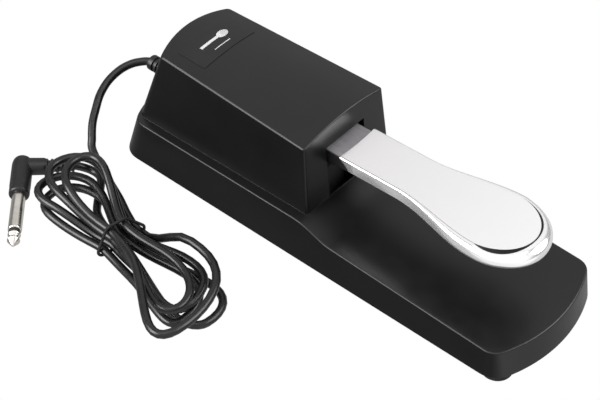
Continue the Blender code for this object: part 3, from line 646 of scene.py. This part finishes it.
def end_run(half_width, peak, radius, corner, n_arc):
    """Round an end at +Y from its right side to its left: corner, wide arc, corner."""
    centre_y = peak - radius
    reach = half_width - corner
    corner_y = centre_y + math.sqrt((radius - corner) ** 2 - reach**2)
    meet = math.atan2(corner_y - centre_y, reach)
    turn = arc_points((reach, corner_y), corner, 0, meet, N_CORNER)
    arc = arc_points((0, centre_y), radius, meet, math.pi - meet, n_arc)
    return chain(turn, arc, mirrored(turn))


def base_ring(z, inset):
    """Outline of the base: from the right shoulder round the rear to the left one, then round the front."""
    half = BASE_HALF_WIDTH - SIDE_DRAFT * z - inset
    radius = END_RADIUS - inset
    corner = CORNER_RADIUS - REAR_CORNER_LOSS * z - inset
    rear = end_run(half, BASE_HALF_LENGTH - REAR_DRAFT * z - inset, radius, corner, N_ARC)
    corner = CORNER_RADIUS - FRONT_CORNER_LOSS * z - inset
    front = end_run(half, BASE_HALF_LENGTH - FRONT_DRAFT * z - inset, radius, corner, N_CROSS + 2 * N_LEDGE)
    front = front * np.array([1.0, -1.0])
    side = line_points((half, SHOULDER_Y), rear[0], N_SIDE)
    dip = line_points((half, SHOULDER_Y), (half, DECK_DIP_START), N_DIP)
    ahead = chain(dip, line_points((half, DECK_DIP_START), front[0], N_DECK))
    back_half = chain(side, rear, mirrored(side))
    front_half = chain(mirrored(ahead[::-1]), front[::-1], ahead[::-1])
    return chain(back_half, front_half)[:-1]


def housing_ring(level, inset, least_corner):
    """Outline of the housing at its foot (level 0) or top (level 1), with columns at the slot's sides."""
    corner = max(HOUSING_CORNER[level], least_corner) - inset
    peak, radius = HOUSING_PEAK[level] - inset, HOUSING_END_RADIUS[level] - inset
    rear = end_run(HOUSING_HALF_REAR[level] - inset, peak, radius, corner, N_ARC)
    turn = max(HOUSING_FRONT_CORNER, least_corner)
    centre = (HOUSING_HALF_FRONT[level] - turn, HOUSING_FRONT[level] + turn)
    middle_angle = -math.pi / 4
    second_half = arc_points(centre, turn - inset, middle_angle, 0, N_FRONT_CORNER)
    side = chain(second_half, line_points(second_half[-1], rear[0], N_SIDE - N_FRONT_CORNER))
    first_half = arc_points(centre, turn - inset, 2 * middle_angle, middle_angle, N_FRONT_CORNER)
    y = first_half[0][1]
    right = line_points((SLOT_HALF_WIDTH, y), first_half[0], N_CHEEK)
    inner = N_CROSS - 2 * N_FRONT_CORNER - 2 * N_CHEEK
    middle = line_points((-SLOT_HALF_WIDTH, y), (SLOT_HALF_WIDTH, y), inner)
    front = chain(mirrored(first_half), mirrored(right), middle, right, first_half)
    return chain(side, rear, mirrored(side), front)[:-1]


class Outline:
    """An outline that changes evenly with height and with its inset, for all its points at once."""

    def __init__(self, make, low_z, high_z):
        self.low_z, self.high_z = low_z, high_z
        self.low, self.high = make(0, 0.0), make(1, 0.0)
        self.low_step = make(0, 1.0) - self.low
        self.high_step = make(1, 1.0) - self.high

    def at(self, z, inset):
        """Points (x, y, z), where z and inset are one number or one for each point."""
        count = len(self.low)
        z = np.broadcast_to(np.asarray(z, float), (count,))
        inset = np.broadcast_to(np.asarray(inset, float), (count,))[:, None]
        up = ((z - self.low_z) / (self.high_z - self.low_z))[:, None]
        flat = self.low + (self.high - self.low) * up
        flat = flat + inset * (self.low_step + (self.high_step - self.low_step) * up)
        return np.concatenate([flat, z[:, None]], axis=1)


def coons(back, front, left, right):
    """A grid of (x, y) inside four runs: back and front go left to right, the others back to front."""
    u = np.linspace(0, 1, len(back))[None, :, None]
    v = np.linspace(0, 1, len(left))[:, None, None]
    along = (1 - v) * back[None] + v * front[None]
    across = (1 - u) * left[:, None] + u * right[:, None]
    corners = (1 - u) * (1 - v) * back[0] + u * (1 - v) * back[-1]
    corners = corners + (1 - u) * v * front[0] + u * v * front[-1]
    return along + across - corners


def lifted(flat, height):
    return np.concatenate([flat, height[..., None]], axis=-1)


def quarter(steps=4):
    return [math.pi / 2 * i / steps for i in range(steps + 1)]


def base_wall(bm, base, depth, edge_round):
    """The base's wall, from its rim up to its rounded edge. Returns its lowest and highest rings."""
    deck = deck_height(base.high[:, 1]) - depth
    rim = 0.0 if depth else RIM_ROUND
    rings = [base.at(rim * (1 - math.sin(a)), depth + rim * (1 - math.cos(a))) for a in reversed(quarter())]
    for share in np.linspace(0, 1, 5)[1:]:
        rings.append(base.at(rim + (deck - edge_round - rim) * share, depth))
    for a in quarter()[1:]:
        rings.append(base.at(deck - edge_round * (1 - math.sin(a)), depth + edge_round * (1 - math.cos(a))))
    rings[-1][:, 2] = deck_height(rings[-1][:, 1]) - depth
    add_grid(bm, closed_ring(np.array(rings)))
    return rings[0], rings[-1]


def housing_wall(bm, housing, depth, foot_round, top_round):
    """The housing's wall, but for its slot. Returns its foot, its brink and the grid of its slot."""
    foot = housing.at(LEDGE_Z, depth - foot_round)
    foot_z = deck_height(foot[:, 1]) - depth
    walls = []
    for a in quarter():
        inset = depth - foot_round * (1 - math.sin(a))
        walls.append(housing.at(foot_z + foot_round * (1 - math.cos(a)), inset))
    slot_low = len(walls) - 1
    start = walls[-1][:, 2]
    for share in np.linspace(0, 1, N_SLOT + 1)[1:]:
        walls.append(housing.at(start + (SLOT_TOP_Z - start) * share, depth))
    slot_high = len(walls) - 1
    top = crown_height(housing.at(HOUSING_TOP_Z, depth)[:, 0]) - depth
    for share in np.linspace(0, 1, 4)[1:]:
        walls.append(housing.at(SLOT_TOP_Z + (top - top_round - SLOT_TOP_Z) * share, depth))
    for a in quarter()[1:]:
        walls.append(housing.at(top - top_round * (1 - math.sin(a)), depth + top_round * (1 - math.cos(a))))
    foot, brink = walls[0], walls[-1]
    brink[:, 2] = crown_height(brink[:, 0]) - depth
    walls = closed_ring(np.array(walls))
    beside = N_FRONT_CORNER + N_CHEEK
    first, last = N_BACK + beside, N_BACK + N_CROSS - beside
    add_grid(bm, walls, skip=lambda i, j: slot_low <= i < slot_high and first <= j < last)
    return foot, brink, walls[slot_low : slot_high + 1, first : last + 1]


def add_deck(bm, edge, foot, depth):
    """The ledge round the housing and the deck in front of it, from the base's edge to the housing's foot."""
    shares = np.linspace(0, 1, N_LEDGE + 1)[:, None, None]
    strip = edge[None, : N_BACK + 1] * (1 - shares) + foot[None, : N_BACK + 1] * shares
    strip[..., 2] = deck_height(strip[..., 1]) - depth
    add_grid(bm, strip)
    front_foot = np.concatenate([foot[N_BACK:], foot[:1]])[:, :2]
    back = chain(strip[:, N_BACK, :2], front_foot, strip[::-1, 0, :2])
    ahead = np.concatenate([edge[N_BACK:], edge[:1]])[:, :2]
    left = ahead[: N_AHEAD + 1]
    front = ahead[N_AHEAD : len(ahead) - N_AHEAD]
    right = ahead[len(ahead) - 1 - N_AHEAD :][::-1]
    flat = coons(back, front, left, right)
    add_grid(bm, lifted(flat, deck_height(flat[..., 1]) - depth))


def add_crown(bm, brink, depth):
    """The housing's crowned top."""
    right = brink[: N_SIDE + 1, :2]
    rear = brink[N_SIDE : N_SIDE + N_CROSS + 1, :2]
    left = brink[N_SIDE + N_CROSS : N_BACK + 1, :2]
    front = np.concatenate([brink[N_BACK:], brink[:1]])[:, :2]
    flat = coons(front, rear[::-1], left[::-1], right)
    add_grid(bm, lifted(flat, crown_height(flat[..., 0]) - depth))


def case_skin(bm, depth):
    """One skin of the case, at a depth under its outside. Returns its rim and the grid of its slot."""
    soft = INNER_SOFTNESS if depth else 1.0
    least_corner = depth + INNER_CORNER if depth else 0.0
    base = Outline(lambda level, inset: base_ring(level * LEDGE_Z, inset), 0.0, LEDGE_Z)
    housing = Outline(lambda level, inset: housing_ring(level, inset, least_corner), LEDGE_Z, HOUSING_TOP_Z)
    ledge = np.linalg.norm(base.high[: N_BACK + 1] - housing.low[: N_BACK + 1], axis=1)
    room = np.full(len(base.low), max(EDGE_ROUND, FOOT_ROUND))
    room[: N_BACK + 1] = ROUND_SHARE * ledge
    rim, edge = base_wall(bm, base, depth, np.minimum(EDGE_ROUND, room) * soft)
    foot_round = np.minimum(FOOT_ROUND, room[: len(housing.low)]) * soft
    foot, brink, slot = housing_wall(bm, housing, depth, foot_round, TOP_ROUND * soft)
    add_deck(bm, edge, foot, depth)
    add_crown(bm, brink, depth)
    return rim, slot


def upper_case():
    """The case as one closed skin: outside, inside, the rim between them and the slot's cheeks."""
    bm = bmesh.new()
    outer_rim, outer_slot = case_skin(bm, 0.0)
    inner_rim, inner_slot = case_skin(bm, WALL)
    add_grid(bm, closed_ring(np.array([outer_rim, inner_rim])))
    join_edges(bm, outer_slot, inner_slot)
    case = from_bmesh("case_shell", bm, sharp=40)
    bore = [(0, 22), (CABLE_HOLE, 22), (CABLE_HOLE, 0), (0, 0)]
    combine(case, lathe("cable_hole", bore, at(0, 96, EXIT_Z) @ ALONG_Y), "DIFFERENCE")
    weighted(case)
    return finish_piece(case, "case", "upper_case")


# ---- Lever ----


LEVER = Matrix.Translation(PIVOT * MM) @ Matrix.Rotation(-REST_TILT, 4, "X")


def flare(y):
    """0 along the shank, rising smoothly to 1 at the paddle's widest."""
    share = np.clip((FLARE_Y - y) / (FLARE_Y - PADDLE_Y), 0, 1)
    return 0.5 - 0.5 * np.cos(math.pi * share)


def cap_outline(inset):
    """The cap's right-hand outline from its rear to its tip, at an inset that may vary along it."""
    ys = np.concatenate([np.linspace(CAP_REAR, FLARE_Y, 13)[:-1], np.linspace(FLARE_Y, PADDLE_Y, 21)])
    angles = np.linspace(0, math.pi / 2, 21)[1:]
    inset = np.broadcast_to(inset, (len(ys) + len(angles),))
    side = np.stack([SHANK_HALF_WIDTH + (PADDLE_HALF_WIDTH - SHANK_HALF_WIDTH) * flare(ys), ys], axis=1)
    side[:, 0] -= inset[: len(ys)]
    reach = PADDLE_Y - CAP_FRONT
    tail = inset[len(ys) :]
    turn = np.stack(
        [(PADDLE_HALF_WIDTH - tail) * np.cos(angles), PADDLE_Y - (reach - tail) * np.sin(angles)], axis=1
    )
    return np.concatenate([side, turn])


def cap_profile():
    """For each point along the outline: the cap's section as (inset, depth) pairs, outside then inside."""
    run = cap_outline(0.0)
    swell = flare(run[:, 1])
    tip = np.clip((PADDLE_Y - run[:, 1]) / (PADDLE_Y - CAP_FRONT), 0, 1)
    edge_in = 0.95 + 2.25 * swell + 2.2 * tip
    edge_down = 0.85 + 2.25 * swell + 1.4 * tip
    depth = 5.9 + 1.7 * swell + 0.8 * tip
    curl = 0.45 + 2.5 * swell
    lip = 0.12 + 4.3 * tip * (1.08 - tip)
    rows = [(edge_in + 0.35, 0 * swell), (edge_in, 0.02 + 0 * swell)]
    for a in quarter(7)[:-1]:
        start = lip * math.cos(a) ** 6
        rows.append((edge_in * (1 - math.sin(a)) - start, lip + (edge_down - lip) * (1 - math.cos(a))))
    rows += [(0 * swell, edge_down), (0 * swell, (edge_down + depth - curl) / 2)]
    for a in quarter(5):
        rows.append((curl * (1 - math.cos(a)), depth - curl * (1 - math.sin(a))))
    skin = 0.9
    rows.append((curl + 0.2, depth - 0.1))
    rows.append((curl + 0.2, depth - skin))
    for a in reversed(quarter(3)):
        inner = np.maximum(curl - skin, 0.05)
        rows.append((skin + inner * (1 - math.cos(a)), depth - skin - inner * (1 - math.sin(a))))
    rows += [(skin + 0 * swell, edge_down + 0.6), (edge_in + 0.4, CAP_SKIN + 0.25 + 0 * swell)]
    rows.append((edge_in + 1.2, CAP_SKIN + 0 * swell))
    return rows


def rear_start(drop):
    """How far forward the cap's rear edge begins at a depth under its top."""
    return np.interp(drop, (0.6, 3.0, 6.5), (0.0, 3.2, 5.7))


def bowed(left, right, strength):
    """Rows of points from the left run to the right one, their middles bowed forwards."""
    across = np.linspace(0, 1, 25)[:, None]
    rows = left[..., None, :] * (1 - across) + right[..., None, :] * across
    width = np.abs(rows[..., -1:, 0]) + TINY
    rows[..., 1] -= CAP_BOW * strength * (1 - (rows[..., 0] / width) ** 2)
    return rows


def lever_cap():
    """The plated cap: a flat top, a small step beside it whose faces are painted near-black as painted shade, a
    rounded edge, a side that curls under at the paddle.
    """
    strips = []
    for inset, drop in cap_profile():
        flat = cap_outline(inset)
        fade = np.clip((flat[:, 1] - (CAP_REAR - 16)) / 16, 0, 1)
        flat[:, 1] -= rear_start(drop) * fade**2
        strips.append(lifted(flat, -np.broadcast_to(drop, (len(flat),))))
    right = np.array(strips)
    left = right * np.array([-1.0, 1.0, 1.0])
    bm = bmesh.new()
    for half in (right, left):
        add_grid(bm, half, second=(CREASE_SHADE_ROW,))
        rear = half[:, 0]
        count = len(rear) // 2
        add_grid(bm, np.stack([rear[:count], rear[::-1][:count]]))
    for row in (0, -1):
        strength = np.clip((left[row][:, 1] - (CAP_REAR - 10)) / 10, 0, 1) ** 2
        add_grid(bm, bowed(left[row], right[row], strength[:, None]))
    add_grid(bm, np.stack([bowed(left[row][0], right[row][0], 1.0) for row in (0, -1)]))
    bmesh.ops.translate(bm, vec=(0, -PIVOT.y, CAP_TOP), verts=bm.verts)
    cap = from_bmesh("lever_plate", bm, LEVER, sharp=28)
    weighted(cap)
    finish_piece(cap, "chrome", "lever_cap", body="lever")
    # the step's faces take this near-black painted-shade material
    cap.data.materials.append(MATERIALS["crease_painted_shade"])
    return cap


def lever_core():
    """The grey beam inside the cap: a long bar with rounded edges and ends cut back a little."""
    ys = np.array([84.0, 83.4, 60, 30, 10, 4, -4, -20, -55, -89.4, -90.0]) - PIVOT.y
    sections = []
    for i, y in enumerate(ys):
        end = CORE_END if i in (0, len(ys) - 1) else 0.0
        bottom = -np.interp(-(y + PIVOT.y), (-4, 20), (8.8, 6.4)) + end
        half, top = CORE_HALF_WIDTH - end, -1.1 - end
        ring = []
        for cx, cz, start in ((1, 1, 0), (-1, 1, 1), (-1, -1, 2), (1, -1, 3)):
            for k in range(5):
                a = math.pi / 2 * (start + k / 4)
                x = cx * (half - CORE_CORNER) + CORE_CORNER * math.cos(a)
                z = (top - CORE_CORNER if cz > 0 else bottom + CORE_CORNER) + CORE_CORNER * math.sin(a)
                ring.append((x, y, z + CAP_TOP))
        sections.append(ring)
    bm = bmesh.new()
    add_grid(bm, closed_ring(np.array(sections)))
    for ring in (sections[0], sections[-1]):
        bm.faces.new([bm.verts.new(p) for p in ring])
    core = from_bmesh("lever_beam", bm, LEVER, sharp=30)
    weighted(core)
    return finish_piece(core, "core", "lever_core", body="lever")


# ---- Cable ----


def half_loop_point(index, share):
    """A point of one half loop, from the tie out to its end and back: share runs from 0 to 1."""
    reach, lean, first, second, level = HALF_LOOPS[index]
    side = first if share < 0.5 else second
    column, tie_level = TIE_PLACES[index + (share >= 0.5)]
    tie = column * HANK_COLUMN + TIE_SHIFT
    out = math.sin(math.pi * share)
    power, peak = REAR_LOOP if reach > 0 else FRONT_LOOP
    along = reach * out
    width = tie + (LOOP_FULLNESS * (side - LEAN_SHARE * lean) - tie) * out**power / peak
    across = abs(math.cos(math.pi * share)) * width + lean * out**3
    climb = float(ease((abs(along) - 2) / HANK_RISE))
    return hank_to_row(along, across, tie_level + (level - tie_level) * climb)


def hank_to_row(along, across, level=0.0):
    """From the hank's own axes about its tie to the case's, at the height of a layer."""
    sin, cos = math.sin(HANK_SKEW), math.cos(HANK_SKEW)
    x = HANK_CENTRE[0] + sin * along + cos * across
    y = HANK_CENTRE[1] + cos * along - sin * across
    lift = TIE_LIFT * math.exp(-((along / TIE_LIFT_REACH) ** 2))
    return Vector((x, y, FLOOR_Z + CABLE_RADIUS + REST_GAP + level * HANK_LEVEL + lift))


def plug_axes():
    """Unit vectors along the plug and along its arm, both level."""
    along = Vector((math.cos(PLUG_HEADING), math.sin(PLUG_HEADING), 0))
    return along, Vector((-along.y, along.x, 0))


def arm_root():
    """Where the arm's axis meets the handle's axis, with the handle lying on the floor."""
    along = plug_axes()[0]
    return Vector((*PLUG_BACK, FLOOR_Z + HANDLE_RADIUS + 0.1)) + along * ARM_OFFSET


def cable_path():
    """From the plug's arm, across the tie, round the hank and up to the case."""
    arm = plug_axes()[1]
    entry = [arm_root() + arm * (ARM_LENGTH - reach) for reach in (ARM_BORE_DEPTH - 1.5, 4.0, -1.0)]
    entry += [hank_to_row(*place) for place in CABLE_ENTRY]
    steps = [i / HANK_STEPS for i in range(HANK_STEPS)]
    hank = [half_loop_point(index, share) for index in range(len(HALF_LOOPS)) for share in steps]
    end = half_loop_point(len(HALF_LOOPS) - 1, 1.0)
    lead = [end] + [hank_to_row(*place) for place in CABLE_LEAD]
    lead += [*CABLE_CLIMB, (0, 117.0, EXIT_Z), (0, 110.0, EXIT_Z), (0, 99.9, EXIT_Z)]
    path = catmull(entry + [hank[0]], 8, after=hank[2]) + hank
    return path + catmull(lead, 8, before=hank[-2]) + [Vector(lead[-1])]


def cable():
    piece = tube_curve("cable_run", cable_path(), CABLE_RADIUS, sides=6)
    return finish_piece(piece, "cable", "cable")


def cable_tie():
    """A wire loop round the bundle."""
    strands = [(column * HANK_COLUMN + TIE_SHIFT, level * HANK_LEVEL) for column, level in TIE_PLACES]
    reach = CABLE_RADIUS + TIE_WIRE + 0.25
    loop = []
    for i in range(96):
        angle = 2 * math.pi * i / 96
        toward = Vector((math.cos(angle), math.sin(angle)))
        far = max((Vector(s) for s in strands), key=lambda s: s.dot(toward))
        place = far + toward * reach
        loop.append(hank_to_row(0, place.x, place.y / HANK_LEVEL))
    ring = tube_curve("hank_tie", loop, TIE_WIRE * 0.9, sides=3, cyclic=True)
    return finish_piece(ring, "rubber", "cable_tie")


def strain_relief():
    """A moulded bush that grips the rear wall, with a collar and ribs round the cable."""
    bore = CABLE_RADIUS + 0.05
    rib, groove, neck, flange = 3.85, 2.9, 2.65, 3.9
    profile = [(bore, 121.9), (3.5, 121.9), (3.8, 121.5), (rib, 118.9), (groove, 118.7), (groove, 117.9)]
    for y in (117.7, 115.2, 112.7):
        profile += [(rib, y), (rib, y - 1.3), (groove, y - 1.5), (groove, y - 2.3)]
    profile += [(rib, 110.2), (rib, 109.2), (neck, 109.2)]
    profile += [(neck, 103.0), (flange, 103.0), (flange, 100.6), (bore, 100.6)]
    piece = lathe("cable_relief", rounded(profile, 0.25, 2), at(0, 0, EXIT_Z) @ ALONG_Y)
    return finish_piece(piece, "rubber", "strain_relief", material="plug_body")


# ---- Plug ----


def plug_place(offset=0.0):
    """A frame whose Z runs from the back of the plug's handle towards its tip."""
    turn = Matrix.Rotation(PLUG_HEADING, 4, "Z") @ Matrix.Rotation(math.pi / 2, 4, "Y")
    back = arm_root() - plug_axes()[0] * ARM_OFFSET
    return Matrix.Translation(back * MM) @ turn @ Matrix.Translation((0, 0, offset * MM))


def arm_place():
    turn = plug_axes()[1].to_track_quat("Z", "Y").to_matrix().to_4x4()
    return Matrix.Translation(arm_root() * MM) @ turn


def plug_handle():
    """The moulded right-angle body: a stout handle and a ribbed arm that the cable enters."""
    end = HANDLE_LENGTH
    body = [(0, end), (4.2, end), (HANDLE_RADIUS - 0.1, end - 0.8), (HANDLE_RADIUS - 0.1, end - 5)]
    body += [(HANDLE_RADIUS, end - 5.6), (HANDLE_RADIUS, 3.4), (4.3, 0.9), (2.6, -0.3), (0, -0.6)]
    handle = lathe("plug_grip", rounded(body, 1.2, 4), plug_place(), steps=56)
    end = ARM_LENGTH
    arm = [(CABLE_RADIUS + 0.15, end), (2.9, end), (3.0, end - 0.9)]
    for i in range(5):
        rib = end - 1.2 - 2.4 * i
        arm += [(2.4 + 0.1 * i, rib), (2.4 + 0.1 * i, rib - 1.1), (3.2 + 0.1 * i, rib - 1.3)]
        arm += [(3.2 + 0.1 * i, rib - 2.2)]
    arm += [(4.0, end - 13.6), (4.1, 3.0), (3.6, 0.0), (CABLE_RADIUS + 0.15, 0.0)]
    arm_piece = lathe("plug_arm", rounded(arm, 0.3, 2), arm_place())
    combine(handle, arm_piece, "UNION")
    return finish_piece(handle, "plug_body", "plug_handle")


def plug_metal():
    """The sleeve, the insulating ring and the tip with its waist."""
    front = plug_place(HANDLE_LENGTH)
    sleeve = [(1.9, 22.4), (SLEEVE_RADIUS - 0.4, 22.4), (SLEEVE_RADIUS, 22.0), (SLEEVE_RADIUS, 0.9)]
    sleeve += [(SLEEVE_RADIUS - 0.35, 0.7), (SLEEVE_RADIUS - 0.35, -3.0), (1.9, -3.0)]
    piece = lathe("plug_barrel", rounded(sleeve, 0.15, 2), front, steps=64)
    finish_piece(piece, "nickel", "plug_sleeve")
    ring = [(1.6, 24.1), (2.75, 24.1), (2.75, 22.6), (1.6, 22.6)]
    piece = lathe("plug_ring", rounded(ring, 0.1, 1), front, steps=64)
    finish_piece(piece, "insulator", "plug_insulator")
    tip = [(0, 31.8), (0.6, 31.6), (2.95, 28.5), (2.9, 28.1), (2.1, 26.9), (2.1, 26.3)]
    tip += [(SLEEVE_RADIUS - 0.2, 25.3), (SLEEVE_RADIUS - 0.2, 24.4), (1.4, 24.4), (1.4, 22.0), (0, 22.0)]
    piece = lathe("plug_point", rounded(tip, 0.5, 3), front, steps=64)
    finish_piece(piece, "nickel", "plug_tip")


# ---- Spring ----


def return_spring():
    """A compression spring with closed ends."""
    low, high = box_mm("return_spring")
    bottom, top = low.z + SPRING_WIRE, high.z - SPRING_WIRE
    steps = 28
    count = SPRING_TURNS * steps
    points = []
    for i in range(count + 1):
        share = i / count
        rise = SPRING_CLOSING * float(ease(share)) + (1 - SPRING_CLOSING) * share
        angle = 2 * math.pi * i / steps
        x, y = SPRING_RADIUS * math.cos(angle), SPRING_Y + SPRING_RADIUS * math.sin(angle)
        points.append((x, y, bottom + (top - bottom) * rise))
    piece = tube_curve("lever_spring", points, SPRING_WIRE, sides=3)
    finish_piece(piece, "spring_steel", "return_spring")
    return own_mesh(piece)


# ---- Feet, screws and small pieces ----


def feet():
    """Turned rubber feet with a groove round them and a countersunk hollow for the screw."""
    for name in ("front_left", "front_right", "rear_left", "rear_right"):
        low, high = box_mm("foot_" + name)
        middle = (low + high) / 2
        radius = (high.x - low.x) / 2
        profile = [(1.8, 0.5), (4.3, 0.5), (4.3, -0.3), (radius, -0.3), (radius, -1.0)]
        profile += [(radius - 0.35, -1.1), (radius - 0.35, -1.35), (radius, -1.5), (radius, -2.1)]
        profile += [(radius - 0.9, FLOOR_Z), (3.6, FLOOR_Z), (3.3, FLOOR_Z + 0.4), (3.3, -0.9), (1.8, -0.9)]
        foot = lathe("rubber_foot_" + name, rounded(profile, 0.18, 2), at(middle.x, middle.y, 0))
        finish_piece(foot, "rubber", "foot_" + name)


def badge():
    """A thin dark label that follows the crown, with its printed pictogram."""
    low, high = box_mm("badge")
    half = high.x
    bm = bmesh.new()
    across = np.linspace(-half, half, 25)
    rows = np.linspace(low.y, high.y, 9)
    top = np.array([[(x, y, crown_height(x) + LABEL_TOP) for x in across] for y in rows])
    add_slab(bm, top, top - np.array([0, 0, LABEL_TOP - LABEL_BASE]))
    piece = from_bmesh("badge_label", bm, sharp=30)
    finish_piece(piece, "badge", "badge")
    finish_piece(badge_print((low.y + high.y) / 2), "badge", "badge", material="print")


def printed_patch(bm, grid):
    """A patch of ink on the label, from a grid of (x, y) points."""
    height = crown_height(grid[..., 0]) + LABEL_TOP
    add_slab(bm, lifted(grid, height + INK), lifted(grid, height - INK))


def bar(start, end, width):
    """A straight stroke as a grid of points."""
    start, end = np.array(start, float), np.array(end, float)
    along = end - start
    side = np.array([-along[1], along[0]]) / np.linalg.norm(along) * width / 2
    line = start + np.linspace(0, 1, 13)[:, None] * along
    return np.stack([line - side, line + side])


def badge_print(middle):
    """A pictogram: a pedal's lever seen from above, over a short line."""
    bm = bmesh.new()
    printed_patch(bm, bar((-8.6, middle + 1.6), (2.6, middle + 1.6), 1.5))
    printed_patch(bm, bar((-5.0, middle - 3.6), (5.0, middle - 3.6), 0.45))
    turn = np.linspace(0, 2 * math.pi, 33)
    spot = np.stack([np.cos(turn), np.sin(turn)], axis=1)
    centre = np.array([5.4, middle + 1.6])
    printed_patch(bm, np.stack([centre + 0.02 * spot, centre + spot * np.array([3.3, 2.1])]))
    return from_bmesh("badge_print", bm, sharp=30)


def carried_over():
    """Materials for the CAD nodes that stay as they are."""
    slots = {entry["node"]: entry["material_slot"] for entry in frame["record"]["subparts"]}
    for name, node in frame["nodes"].items():
        if node.hide_render:
            continue
        node.data.materials.clear()
        node.data.materials.append(MATERIALS[slots[name]])


# ---- Stage ----


def floor_material():
    """White to the camera, a soft light of uneven strength to the pieces, and clear from below."""
    material = bpy.data.materials.new("floor")
    material.use_nodes = True
    graph = Graph(material.node_tree)
    graph.nodes.remove(graph.nodes["Principled BSDF"])
    geometry = graph.add("NewGeometry", output="Incoming").node.outputs
    across = graph.dot(geometry["Incoming"], ACROSS_VIEW)
    along = graph.dot(geometry["Incoming"], ALONG_VIEW)
    shade = graph.spread(across, *FLOOR_LIGHT, *FLOOR_LIGHT_SPAN, **SMOOTH)
    near = graph.spread(along, FLOOR_NEAR, 0.0, *FLOOR_NEAR_SPAN, **SMOOTH)
    light = graph.add("Math", {0: shade, 1: near}, operation="ADD")
    glow = graph.add("Emission", {"Strength": graph.white_to_camera(light)})
    clear = graph.add("BsdfTransparent")
    surface = graph.add("MixShader", {0: geometry["Backfacing"], 1: glow, 2: clear})
    graph.feed(graph.nodes["Material Output"].inputs["Surface"], surface)
    return material


def add_floor():
    mesh = bpy.data.meshes.new("floor")
    corners = [(x * FLOOR_SIZE, y * FLOOR_SIZE, 0) for x, y in ((-1, -1), (1, -1), (1, 1), (-1, 1))]
    mesh.from_pydata(corners, [], [(0, 1, 2, 3)])
    mesh.materials.append(floor_material())
    floor = link_mesh("floor", mesh)
    floor.location.z = (FLOOR_Z - FLOOR_GAP) * MM


def softbox(graph, direction, size, strength):
    """The light of a round soft box, from its direction and its inner and outer half angles."""
    ray = graph.add("TexCoord", output="Generated")
    inner, outer = (math.cos(math.radians(angle)) for angle in size)
    aim = graph.dot(ray, Vector(direction).normalized())
    return graph.spread(aim, 0.0, strength, outer, inner, **SMOOTH)


def add_world():
    """Soft studio light: a dim room with soft boxes in it, and plain white behind the floor."""
    world = bpy.data.worlds.new("studio")
    bpy.context.scene.world = world
    world.use_nodes = True
    graph = Graph(world.node_tree)
    light = ROOM_LIGHT
    for box in SOFTBOXES:
        light = graph.add("Math", {0: softbox(graph, *box), 1: light}, operation="ADD")
    sky = graph.nodes["Background"].inputs
    sky["Color"].default_value = (1, 1, 1, 1)
    graph.feed(sky["Strength"], graph.white_to_camera(light))


def add_camera():
    camera = bpy.data.cameras.new("view")
    camera.lens = LENS
    camera.clip_start = 0.01
    obj = bpy.data.objects.new("view", camera)
    bpy.context.scene.collection.objects.link(obj)
    heading = Matrix.Rotation(VIEW_AZIMUTH, 4, "Z")
    pitch = Matrix.Rotation(math.pi / 2 - VIEW_ELEVATION, 4, "X")
    roll = Matrix.Rotation(VIEW_ROLL, 4, "Z")
    obj.matrix_world = Matrix.Translation(Vector(VIEW_FROM) * MM) @ heading @ pitch @ roll
    bpy.context.scene.camera = obj


def build():
    upper_case()
    lever_cap()
    lever_core()
    cable()
    cable_tie()
    strain_relief()
    plug_handle()
    plug_metal()
    return_spring()
    feet()
    badge()
    carried_over()
    add_floor()
    add_world()
    add_camera()
    bpy.context.scene.view_settings.view_transform = "Standard"


build()


bpy.context.view_layer.update()
